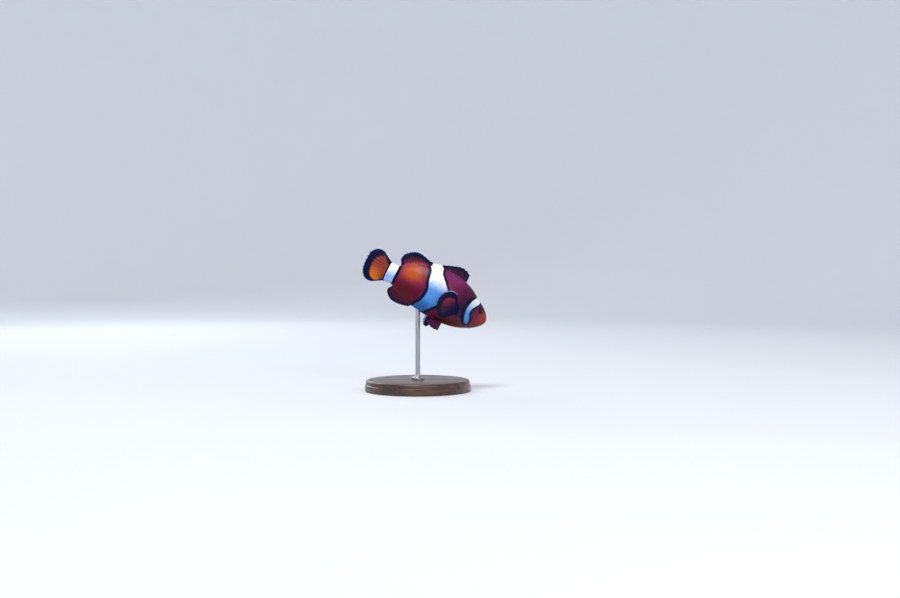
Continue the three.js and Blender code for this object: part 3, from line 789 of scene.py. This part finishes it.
def makeEyeMaterial():
    material, tree, shader = newMaterial(
        "glossy eye", Roughness=0.3, Coat_Weight=0.3, Coat_Roughness=0.04, Specular_IOR_Level=0.05)
    radius, around, high = split(tree, "iris")
    where = put(tree, "CombineXYZ", {0: times(tree, radius, 2.0),
                                     1: times(tree, around, 9.0)}).outputs[0]
    streak = put(tree, "TexNoise", {"Vector": where, "Scale": 3.0, "Detail": 3.0}).outputs["Fac"]
    colour = mixed(tree, step(tree, streak, 0.42, 0.66), eyeLook["iris"], eyeLook["fleck"])
    # the iris's upper part lightened with painted sheen
    colour = mixed(tree, step(tree, high, 0.2, 0.8, 0.0, 0.75), colour, eyeLook["paintedIrisSheen"])
    pupil = eyeLook["pupilRadius"]
    ringIn = step(tree, radius, pupil, pupil + 0.03)
    ringOut = step(tree, radius, pupil + 0.05, pupil + 0.14)
    colour = mixed(tree, ringOut, eyeLook["ring"], colour)
    colour = mixed(tree, ringIn, eyeLook["pupil"], colour)
    colour = mixed(tree, step(tree, radius, 0.7, 0.82), colour, eyeLook["rim"])
    wire(tree, shader, Base_Color=colour)
    return material


def makeEye(name, node, side, material):
    normal = skinNormal(eye["s"], eyeTurn)
    forward = (skinPoint(eye["s"] - 0.01, eyeTurn) - skinPoint(eye["s"] + 0.01, eyeTurn)).normalized()
    up = forward.cross(normal)
    centre = eyeSpot + normal * (eye["proud"] - eye["halfDepth"])
    bm = bmesh.new()
    bmesh.ops.create_uvsphere(bm, u_segments=48, v_segments=32, radius=1)
    iris = bm.verts.layers.float_vector.new("iris")
    for vert in bm.verts:
        x, y, z = vert.co
        depth = z if z > 0 else z * 0.8
        # the third number is the height on the eye, for the iris's painted sheen
        vert[iris] = (hypot(x, y) if z > 0 else 1.0, abs(x) + y, y)
        cornea = 1 + 0.05 * hump(hypot(x, y), 0.42)
        p = centre + forward * x * eye["radius"] + up * y * eye["radius"]
        p += normal * depth * eye["halfDepth"] * cornea
        vert.co = posed(Vector((p.x, p.y * side, p.z)))
    closeUp(bm)
    finishPiece(name, bm, material, (node,))


eyeMaterial = makeEyeMaterial()
makeEye("eyeLeft", "eye_left", 1, eyeMaterial)
makeEye("eyeRight", "eye_right", -1, eyeMaterial)
print("eyes made")


# fins: a membrane stiffened by branching rays

def makeFinPaint():  # margin of a fin, its rays and the thin pale rim; in millimetres
    tree, given, out = newGroup(
        "fin colours",
        {**{name: "Color" for name in ("Root", "Middle", "Ray", "Margin", "Rim")},
         **{name: "Float" for name in ("Along", "Edge Distance", "Ray Mask", "Margin Width",
                                       "Rim Width", "Rim Amount", "Softness", "Root Reach")}},
        {"Colour": "Color", "Dark": "Float"})
    offRoot = step(tree, minus(tree, given["Along"], given["Root Reach"]), -0.22, 0.22)
    colour = mixed(tree, offRoot, given["Root"], given["Middle"])
    rayShare = times(tree, times(tree, given["Ray Mask"], 0.55), offRoot)
    colour = mixed(tree, rayShare, colour, given["Ray"])
    colour = use(tree, mottle, {"Colour": colour, "Scale": 900.0, "Amount": 0.9})["Colour"]
    inward = plus(tree, given["Edge Distance"], wobble(tree, 700.0, 3.0, 0.9))
    inward = sums(tree, "DIVIDE", minus(tree, given["Margin Width"], inward), given["Softness"])
    margin = step(tree, inward, -0.5, 0.5)
    colour = mixed(tree, margin, colour, given["Margin"])
    dotted = step(tree, grain(tree, 1500.0, 1.0), 0.36, 0.56, 0.35, 1.0)
    thin = step(tree, minus(tree, given["Rim Width"], given["Edge Distance"]), -0.125, 0.125)
    rim = times(tree, thin, times(tree, dotted, given["Rim Amount"]))
    wire(tree, out, Colour=mixed(tree, rim, colour, given["Rim"]), Dark=margin)
    return tree


finPaint = makeFinPaint()
finNavy = tint(0.01, 0.012, 0.18)
paleRim = tint(0.66, 0.78, 0.95)
finSurface = {"gloss": 0.12, "marginGloss": 0.0,
              "wet": {"Roughness": 0.44, "Spread": 0.25, "Strength": 0.3}}


def makeFinMaterial(name, look):
    material, tree, shader = newMaterial(
        name, Coat_Roughness=0.16, Subsurface_Weight=0.08, Subsurface_Scale=0.0006,
        Specular_IOR_Level=0.1)
    along, edge, ray = split(tree, "finPlace")
    band, across, rimAmount = split(tree, "finBand")
    ground, height = groundColour(tree)
    root = look["rootTint"] if "rootTint" in look else mixed(tree, look["rootDark"], ground, finNavy)
    middle = look["middle"]
    if "far" in look:
        middle = mixed(tree, step(tree, across, *look["turnsAt"]), middle, look["far"])
    painted = use(tree, finPaint, {
        "Root": root, "Middle": middle, "Ray": look["ray"], "Margin": finNavy, "Rim": paleRim,
        "Along": along, "Edge Distance": edge, "Ray Mask": ray, "Rim Amount": rimAmount,
        "Margin Width": look["margin"], "Rim Width": look["rim"], "Softness": look["softness"],
        "Root Reach": look.get("rootReach", 0.36)})
    colour = painted["Colour"]
    if "border" in look:
        colour = use(tree, bandPaint, {"Colour": colour, "Distance": band, "Height": height,
                                       "Border Width": look["border"]})["Colour"]
    gloss = step(tree, painted["Dark"], 0.0, 1.0, finSurface["gloss"], finSurface["marginGloss"])
    wet = use(tree, wetSkin, finSurface["wet"])
    wire(tree, shader, Base_Color=colour, Coat_Weight=gloss, Roughness=wet["Roughness"],
         Normal=wet["Normal"])
    return material


# thickness at the root and the edge, height of the rays, how far the root runs into the skin
membrane = {"root": 1.15, "edge": 0.34, "ridgeRoot": 0.3, "ridgeEdge": 0.12, "sink": 1.6,
            "roundEdge": 0.4, "pointsPerRay": 8, "crowded": 0.35, "flareReach": 1.1}


def rayAt(u, t, rays, branchAt):  # 1 on a ray's crest, 0 on the membrane
    place = u * (rays - 1)
    off = abs(place - round(place))
    fork = 0.25 * rise(t, branchAt, 1.0)
    width = lerp(0.17, 0.12, t)
    return max(hump(off - fork, width), hump(off, width) * (1 - rise(t, branchAt, branchAt + 0.2)))


def makeFin(name, node, fin, place, carryTo, material):
    # place(u, t) gives the middle surface and its normal; carryTo takes a point to metres
    rays = fin["rays"]
    across, rows = (rays - 1) * membrane["pointsPerRay"], fin["meshRows"]
    bm = bmesh.new()
    bm.loops.layers.uv.new("OFBake")
    bmesh.ops.create_grid(bm, x_segments=2 * across, y_segments=rows, size=1, calc_uvs=True)
    finPlace = bm.verts.layers.float_vector.new("finPlace")
    finBand = bm.verts.layers.float_vector.new("finBand")
    layers = skinLayers(bm)
    for vert in bm.verts:
        a, row = vert.co.x + 1, (vert.co.y + 1) / 2
        side, u = (1, a) if a <= 1 else (-1, 2 - a)
        u = lerp(u, smooth(u), membrane["crowded"])
        t = row * (1 + membrane["crowded"] * (1 - row))
        between = sin(pi * u * (rays - 1)) ** 2
        reach = t * (1 - fin["notch"] * between)
        point, normal = place(u, reach)
        outer = (place(u, 1 - fin["notch"] * between)[0] - point).length
        sides = [(place(end, reach)[0] - point).length for end in (0, 1)]
        edge = min(outer * (fin["tipMargin"](u) if "tipMargin" in fin else 1.0),
                   *(gap * share for gap, share in zip(sides, fin["sideMargin"])))
        ray = rayAt(u, t, rays, fin["branchAt"])
        half = lerp(membrane["root"], membrane["edge"], sqrt(t)) / 2 * fin.get("slim", 1.0)
        half += lerp(membrane["ridgeRoot"], membrane["ridgeEdge"], t) * ray * 0.6 * rise(
            t, *fin.get("raysFrom", (0.02, 0.2)))
        fromRoot = (point - place(u, 0)[0]).length
        clear = max(fromRoot - membrane["sink"], 0.0)
        half += fin.get("flare", 0.0) * exp(-clear / membrane["flareReach"])
        nearest = min(outer, fromRoot, *sides)
        half *= sqrt(1 - (1 - min(nearest / membrane["roundEdge"], 1.0)) ** 2)
        wave = fin["wave"] * t * sin(fin["waves"] * 2 * pi * u + 1.3) * (0.6 + 0.4 * t)
        vert.co = carryTo(point + normal * (side * half + wave))
        vert[finPlace] = (t, edge, ray)
        vert[finBand] = (fin["bandAt"](u, t) if "bandAt" in fin else -9, u, fin["rimAt"](u, t))
        paintSkinVert(vert, layers, *fin["skinAt"](u), 0)
    closeUp(bm)
    print(name, len(bm.verts), "points")
    finishPiece(name, bm, material, (node,))


def medianPlace(fin):
    name = "top" if fin["side"] > 0 else "bottom"

    def place(u, t):
        s = lerp(fin["from"], fin["to"], u)
        lean = radians(lerp(fin["leanFront"], fin["leanRear"], u))
        reach = curveAt(fin["lengths"], u) * fishLength + membrane["sink"]
        out = t * reach - membrane["sink"]
        trail = 0.12 * t * t * out
        return Vector((
            alongX(s) - out * sin(lean) - trail, 0,
            fin["side"] * (reachAt(name, s) + out * cos(lean)),
        )), Vector((0, 1, 0))

    return place


spinyDorsal = {
    "from": 0.278, "to": 0.511, "side": 1, "rays": 11, "meshRows": 34, "leanFront": -6,
    "leanRear": 43, "notch": 0.05, "branchAt": 1.5, "wave": 0.1, "waves": 2, "slim": 0.85,
    "lengths": ((0, 0.058), (0.1, 0.068), (0.25, 0.069), (0.5, 0.05), (0.75, 0.033), (1, 0.026)),
    # white where the middle band climbs over the rear spines
    "bandAt": lambda u, t: (u - lerp(0.72, 0.78, t)) * 18,
    "skinAt": lambda u: (lerp(0.278, 0.505, u), 0.16),
    "rimAt": lambda u, t: 0.1,
    "sideMargin": (1.7, 1.7),
}
softDorsal = {
    "from": 0.513, "to": 0.732, "side": 1, "rays": 14, "meshRows": 44, "leanFront": 28,
    "leanRear": 26, "notch": 0.025, "branchAt": 0.35, "wave": 0.22, "waves": 1.5, "flare": 0.7,
    "lengths": ((0, 0.026), (0.15, 0.046), (0.35, 0.083), (0.55, 0.099), (0.75, 0.096),
                (0.9, 0.08), (1, 0.05)),
    # white at the front of the base, thinning upwards
    "bandAt": lambda u, t: (lerp(0.13, 0.03, t) - u) * 18,
    "skinAt": lambda u: (lerp(0.513, 0.732, u), 0.12),
    "rimAt": lambda u, t: 1.0,
    "sideMargin": (1.7, 1.5),
}
anal = {
    "from": 0.548, "to": 0.722, "side": -1, "rays": 13, "meshRows": 40, "leanFront": 36,
    "leanRear": 40, "notch": 0.025, "branchAt": 0.35, "wave": 0.18, "waves": 1.5, "flare": 0.9,
    "lengths": ((0, 0.022), (0.25, 0.055), (0.5, 0.072), (0.75, 0.068), (0.9, 0.054), (1, 0.035)),
    "skinAt": lambda u: (lerp(0.548, 0.722, u), -0.1),
    "rimAt": lambda u, t: 0.1,
    "sideMargin": (1.7, 1.7),
}
caudal = {
    "baseS": 0.795, "up": (0.071, 24.5), "down": (0.06, 17),  # half of the base, spread
    "rays": 13, "meshRows": 64,
    "sway": -0.012, "notch": 0.02, "slim": 1.1, "branchAt": 0.3, "wave": 0.25, "waves": 1.2,
    # from the uppermost ray to the lowest: a rounded fan, fullest above its middle
    "lengths": ((0, 0.145), (0.03, 0.185), (0.09, 0.221), (0.17, 0.247), (0.25, 0.256),
                (0.35, 0.249), (0.5, 0.243), (0.7, 0.236), (0.84, 0.212), (0.95, 0.169), (1, 0.125)),
    "bandAt": lambda u, t: 1.0 - t * 19,
    "skinAt": lambda u: (0.8, lerp(0.07, -0.06, u)),
    "rimAt": lambda u, t: 1.0,
    "tipMargin": lambda u: lerp(0.7, 1.0, rise(u, 0.12, 0.45)),
    "sideMargin": (2.7, 5.0),
}
pectoral = {
    "s": 0.288, "z": -0.048, "baseLength": 0.055, "baseLean": 14, "length": 0.195, "spread": 42,
    "shorter": 0.5, "rays": 13, "meshRows": 50, "cup": 0.024, "notch": 0.02, "slim": 0.8,
    "rightFlare": 11, "leftFlare": 40, "rise": 4, "branchAt": 0.3, "wave": 0.2, "waves": 1.6,
    "flare": 0.35,
    "skinAt": lambda u: (0.3, -0.05),
    "rimAt": lambda u, t: 0.75 * rise(-u, -0.5, -0.15) * rise(t, 0.75, 0.9),
    "tipMargin": lambda u: lerp(0.6, 1.0, rise(u, 0.15, 0.6)),
    "sideMargin": (1.7, 0.9), "raysFrom": (0.13, 0.34),
}
pelvic = {
    "s": 0.335, "y": 0.026, "baseLength": 0.034, "length": 0.105, "spread": 26, "shorter": 0.15,
    "rays": 6, "meshRows": 34, "cup": 0.006, "notch": 0.04, "slim": 0.8, "branchAt": 0.3,
    "wave": 0.12, "waves": 1.0, "right": (52, 38), "left": (26, 16),  # drop and splay
    "skinAt": lambda u: (0.33, -0.14),
    "rimAt": lambda u, t: 0.2,
    "sideMargin": (1.7, 1.7),
}


def tailPlace(u, t):
    across = 1 - 2 * u
    base, spread = caudal["up" if across > 0 else "down"]
    angle = radians(spread * across)
    reach = curveAt(caudal["lengths"], u) * fishLength * t
    return Vector((
        alongX(caudal["baseS"]) - fish["gap"] - reach * cos(angle),
        caudal["sway"] * fishLength * t * t * cos(2.2 * across),
        base * fishLength * across + reach * sin(angle),
    )), Vector((0, 1, 0))


def fanPlace(fin, root, axis, base, side):
    normal = axis.cross(base).normalized()

    def place(u, t):
        across = 1 - 2 * u
        angle = radians(fin["spread"] * across)
        full = fin["length"] * fishLength * (1 - fin["shorter"] * across ** 2) + membrane["sink"]
        reach = full * t - membrane["sink"]
        bow = fin["cup"] * fishLength * t * t * (1 - 0.5 * across * across)
        point = (root + base * (fin["baseLength"] * fishLength * across / 2)
                 + axis * reach * cos(angle) + base * max(reach, 0.0) * sin(angle) + normal * bow)
        return (Vector((point.x, point.y * side, point.z)),
                Vector((normal.x, normal.y * side, normal.z)))

    return place


def carriedWith(s, y):  # turned with the spine at the fin's root, but not bent
    root = Vector((alongX(s), y, 0))
    turned = Matrix.Rotation(spineAngle(s), 4, "Z")
    matrix = poseMatrix @ Matrix.Translation(bent(root)) @ turned @ Matrix.Translation(-root)
    return lambda p: matrix @ p


def makePectoral(name, node, side, flare, material):
    turn = flankTurn(pectoral["s"], pectoral["z"])
    root, normal = skinPoint(pectoral["s"], turn), skinNormal(pectoral["s"], turn, 0.01)
    lean = radians(pectoral["baseLean"])
    base = Vector((sin(lean), 0, cos(lean)))
    level = Vector((normal.x, normal.y, 0)).normalized()
    axis = (Vector((-level.y, level.x, 0)) * cos(radians(flare)) + level * sin(radians(flare))
            + Vector((0, 0, sin(radians(pectoral["rise"]))))).normalized()
    base = (base - axis * base.dot(axis)).normalized()
    makeFin(name, node, pectoral, fanPlace(pectoral, root, axis, base, side),
            carriedWith(pectoral["s"], side * root.y), material)


def makePelvic(name, node, fin, side, drop, splay, material):
    root = Vector((alongX(fin["s"]), fin["y"] * fishLength, -reachAt("bottom", fin["s"]) * 0.93))
    drop, splay = radians(drop), radians(splay)
    axis = Vector((-cos(drop), sin(splay) * sin(drop), -cos(splay) * sin(drop))).normalized()
    base = Vector((1, 0.25, 0))
    base = (base - axis * base.dot(axis)).normalized()
    makeFin(name, node, fin, fanPlace(fin, root, axis, base, side),
            carriedWith(fin["s"], side * root.y), material)


spinyLook = {"rootDark": 0.75, "middle": tint(0.06, 0.02, 0.09), "ray": tint(0.28, 0.07, 0.25),
             "margin": 1.5, "rim": 0.1, "softness": 1.2, "border": 0.9}
softLook = {"rootDark": 0.1, "middle": tint(0.26, 0.03, 0.12), "ray": tint(0.37, 0.09, 0.16),
            "margin": 3.6, "rim": 0.52, "softness": 2.0, "border": 0.9}
analLook = {"rootDark": 0.15, "middle": tint(0.21, 0.03, 0.13), "ray": tint(0.28, 0.06, 0.14),
            "margin": 1.8, "rim": 0.15, "softness": 2.4}
tailLook = {"rootTint": tint(0.5, 0.2, 0.09), "middle": tint(0.45, 0.15, 0.14),
            "far": tint(0.82, 0.41, 0.0), "turnsAt": (0.3, 0.78), "ray": tint(0.64, 0.29, 0.08),
            "margin": 6.0, "rim": 0.75, "softness": 1.5, "border": 1.1}
pectoralLook = {"rootDark": 0.85, "middle": tint(0.75, 0.13, 0.3), "far": tint(0.13, 0.02, 0.13),
                "turnsAt": (0.2, 0.65), "ray": tint(0.45, 0.1, 0.18), "margin": 3.6, "rim": 0.35,
                "softness": 1.1, "rootReach": 0.58}
rightPelvicLook = {"rootDark": 0.0, "middle": tint(0.22, 0.09, 0.2), "ray": tint(0.29, 0.12, 0.22),
                   "margin": 0.7, "rim": 0.1, "softness": 1.4}
leftPelvicLook = {"rootDark": 0.5, "middle": tint(0.2, 0.05, 0.1), "ray": tint(0.3, 0.1, 0.12),
                  "margin": 3.2, "rim": 0.9, "softness": 1.6}

makeFin("dorsalFinSpiny", "dorsal_fin_spiny", spinyDorsal, medianPlace(spinyDorsal), posed,
        makeFinMaterial("spiny dorsal membrane", spinyLook))
makeFin("dorsalFinSoft", "dorsal_fin_soft", softDorsal, medianPlace(softDorsal), posed,
        makeFinMaterial("soft dorsal membrane", softLook))
makeFin("analFin", "anal_fin", anal, medianPlace(anal), posed,
        makeFinMaterial("anal membrane", analLook))
makeFin("tailFin", "tail_fin", caudal, tailPlace, posed,
        makeFinMaterial("tail membrane", tailLook))
pectoralMaterial = makeFinMaterial("pectoral membrane", pectoralLook)
makePectoral("pectoralFinLeft", "pectoral_fin_left", 1, pectoral["leftFlare"], pectoralMaterial)
makePectoral("pectoralFinRight", "pectoral_fin_right", -1, pectoral["rightFlare"], pectoralMaterial)
makePelvic("pelvicFinLeft", "pelvic_fin_left", {**pelvic, "rimAt": lambda u, t: 0.9 * rise(u, 0.2, 0.5)},
           1, *pelvic["left"], makeFinMaterial("left pelvic membrane", leftPelvicLook))
makePelvic("pelvicFinRight", "pelvic_fin_right", pelvic,
           -1, *pelvic["right"], makeFinMaterial("right pelvic membrane", rightPelvicLook))
print("fins made")


# the display stand

stand = {
    "radius": 28.0, "height": 6.0, "chamfer": 1.2, "foot": 0.8,
    "groove": 0.5, "rodRadius": 1.25, "rodFoot": 6.3, "rodTop": 45.0, "rodSink": 0.3,
    "collarRadius": 3.6, "collarHeight": 1.0, "collarRound": 0.3, "fillet": 1.9,
    "woodDark": tint(0.17, 0.1, 0.07), "woodLight": tint(0.33, 0.21, 0.14),
    "pores": tint(0.09, 0.05, 0.04),
    "steel": tint(0.74, 0.75, 0.77), "steelDark": tint(0.6, 0.61, 0.63),
}


def spun(profile, steps, unit):  # a profile of (radius, height) turned about the upright axis
    bm = bmesh.new()
    verts = [bm.verts.new((radius * unit, 0, z * unit)) for radius, z in profile]
    edges = [bm.edges.new(pair) for pair in zip(verts, verts[1:])]
    bmesh.ops.spin(bm, geom=verts + edges, cent=(0, 0, 0), axis=(0, 0, 1), angle=2 * pi,
                   steps=steps, use_merge=True)
    return bm


def turnPiece(name, node, profile, steps, material):
    bm = spun(profile, steps, mm)
    closeUp(bm)
    for edge in bm.edges:
        if len(edge.link_faces) == 2 and edge.calc_face_angle() > radians(35):
            edge.smooth = False
    finishPiece(name, bm, material, (node,))


def arc(radius, z, size, start, end, steps=6):  # rounded corner of a profile
    return [(radius + size * cos(radians(lerp(start, end, k / steps))),
             z + size * sin(radians(lerp(start, end, k / steps)))) for k in range(steps + 1)]


def makeWood():
    material, tree, shader = newMaterial("stained wood", Coat_Weight=0.2, Coat_Roughness=0.2)
    where = put(tree, "Mapping", {"Vector": put(tree, "TexCoord").outputs["Object"],
                                  "Location": (0.004, 0.031, 0.0), "Scale": (14.0, 150.0, 150.0)})
    fibre = put(tree, "TexNoise", {"Vector": where.outputs[0], "Scale": 1.6, "Detail": 6.0,
                                   "Roughness": 0.62, "Distortion": 0.8}).outputs["Fac"]
    pores = grain(tree, 2600.0, 2.0)
    colour = mixed(tree, step(tree, fibre, 0.34, 0.66), stand["woodDark"], stand["woodLight"])
    colour = mixed(tree, step(tree, pores, 0.62, 0.7, 0.0, 0.5), colour, stand["pores"])
    bumps = put(tree, "Bump", {"Strength": 0.25, "Distance": 0.0002, "Height": fibre})
    wire(tree, shader, Base_Color=colour, Roughness=step(tree, fibre, 0.3, 0.7, 0.42, 0.3),
         Normal=bumps.outputs[0])
    return material


def makeSteel():
    material, tree, shader = newMaterial("brushed steel", Metallic=1.0)
    where = put(tree, "Mapping", {"Vector": put(tree, "TexCoord").outputs["Object"],
                                  "Scale": (4000.0, 4000.0, 120.0)})
    brushed = put(tree, "TexNoise", {"Vector": where.outputs[0], "Scale": 1.0,
                                     "Detail": 3.0}).outputs["Fac"]
    wire(tree, shader,
         Base_Color=mixed(tree, step(tree, brushed, 0.3, 0.7), stand["steel"], stand["steelDark"]),
         Roughness=step(tree, brushed, 0.3, 0.7, 0.24, 0.4))
    return material


def baseProfile():
    radius, height, chamfer, foot = (stand[k] for k in ("radius", "height", "chamfer", "foot"))
    inner = radius - stand["groove"]
    return [
        (0, 0), (radius - 2 * foot, 0),
        *arc(radius - foot, foot, foot, -90, 0),
        (radius, height - chamfer * 2.2), (inner, height - chamfer * 1.9),
        *arc(inner - chamfer, height - chamfer, chamfer, 0, 90),
        (stand["collarRadius"] + 6, height), (0, height),
    ]


def rodProfile():
    radius, collar, low = stand["rodRadius"], stand["collarRadius"], stand["rodFoot"] - stand["rodSink"]
    corner, fillet, shelf = stand["collarRound"], stand["fillet"], stand["rodFoot"] + stand["collarHeight"]
    return [
        (0, low), (collar - 0.1, low),
        *arc(collar - corner, shelf - corner, corner, 0, 90, 4),
        *arc(radius + fillet, shelf + fillet, fillet, 270, 180, 8),
        (radius, stand["rodTop"]), (0, stand["rodTop"]),
    ]


turnPiece("standBase", "stand_base", baseProfile(), 128, makeWood())
turnPiece("standRod", "stand_rod", rodProfile(), 48, makeSteel())
print("stand made")


# stage, lights and camera

stage = {"floorRadius": 0.75, "curve": 0.5, "wall": 1.4,
         "paper": tint(0.86, 0.87, 0.89), "shade": tint(0.8, 0.81, 0.84)}
studio = {
    # place, aim, size, energy, colour
    "topSoftbox": ((-0.2, -0.45, 1.3), (0, 0, 0.05), 0.6, 12.5, (1.0, 0.99, 0.97)),
    "frontFill": ((0.34, -0.62, 0.4), (0, 0, 0.05), 0.2, 1.2, (0.95, 0.97, 1.0)),
    "backFill": ((-0.35, 0.6, 0.4), (0, 0, 0.05), 0.5, 1.5, (0.92, 0.96, 1.0)),
}
sky = {"Color": (0.85, 0.9, 1.0, 1.0), "Strength": 0.45}
view = {"place": (0.0170459, -0.660683, 0.0717765), "tilt": 88, "lens": 50.0, "sensor": 36.0}


def makeStage():
    material, tree, shader = newMaterial("pale paper", Roughness=0.9)
    tone = step(tree, grain(tree, 8.0, 2.0), 0.3, 0.7, 0.0, 0.06)
    wire(tree, shader, Base_Color=mixed(tree, tone, stage["paper"], stage["shade"]))
    floorRadius, curve = stage["floorRadius"], stage["curve"]
    profile = [(0.0, 0.0), *arc(floorRadius, curve, curve, -90, 0, 16)]
    bm = spun(profile + [(floorRadius + curve, stage["wall"])], 96, 1.0)
    bmesh.ops.remove_doubles(bm, verts=bm.verts, dist=1e-5)
    for face in bm.faces:
        face.smooth = True
    meshObject("paperSweep", bm, material)


def addLight(name, place, aim, size, energy, colour):
    data = bpy.data.lights.new(name, "AREA")
    data.shape, data.size, data.energy, data.color = "DISK", size, energy, colour
    lamp = addObject(name, data)
    lamp.location = place
    lamp.rotation_euler = (Vector(aim) - Vector(place)).to_track_quat("-Z", "Y").to_euler()


makeStage()
for name, lamp in studio.items():
    addLight(name, *lamp)

world = bpy.data.worlds.new("studio")
world.use_nodes = True
for name, value in sky.items():
    world.node_tree.nodes["Background"].inputs[name].default_value = value
bpy.context.scene.world = world
bpy.context.scene.view_settings.view_transform = "Standard"

cameraData = bpy.data.cameras.new("camera")
cameraData.lens, cameraData.sensor_width = view["lens"], view["sensor"]
camera = addObject("camera", cameraData)
camera.location = view["place"]
camera.rotation_euler = (radians(view["tilt"]), 0, 0)
bpy.context.scene.camera = camera
print("stage set")
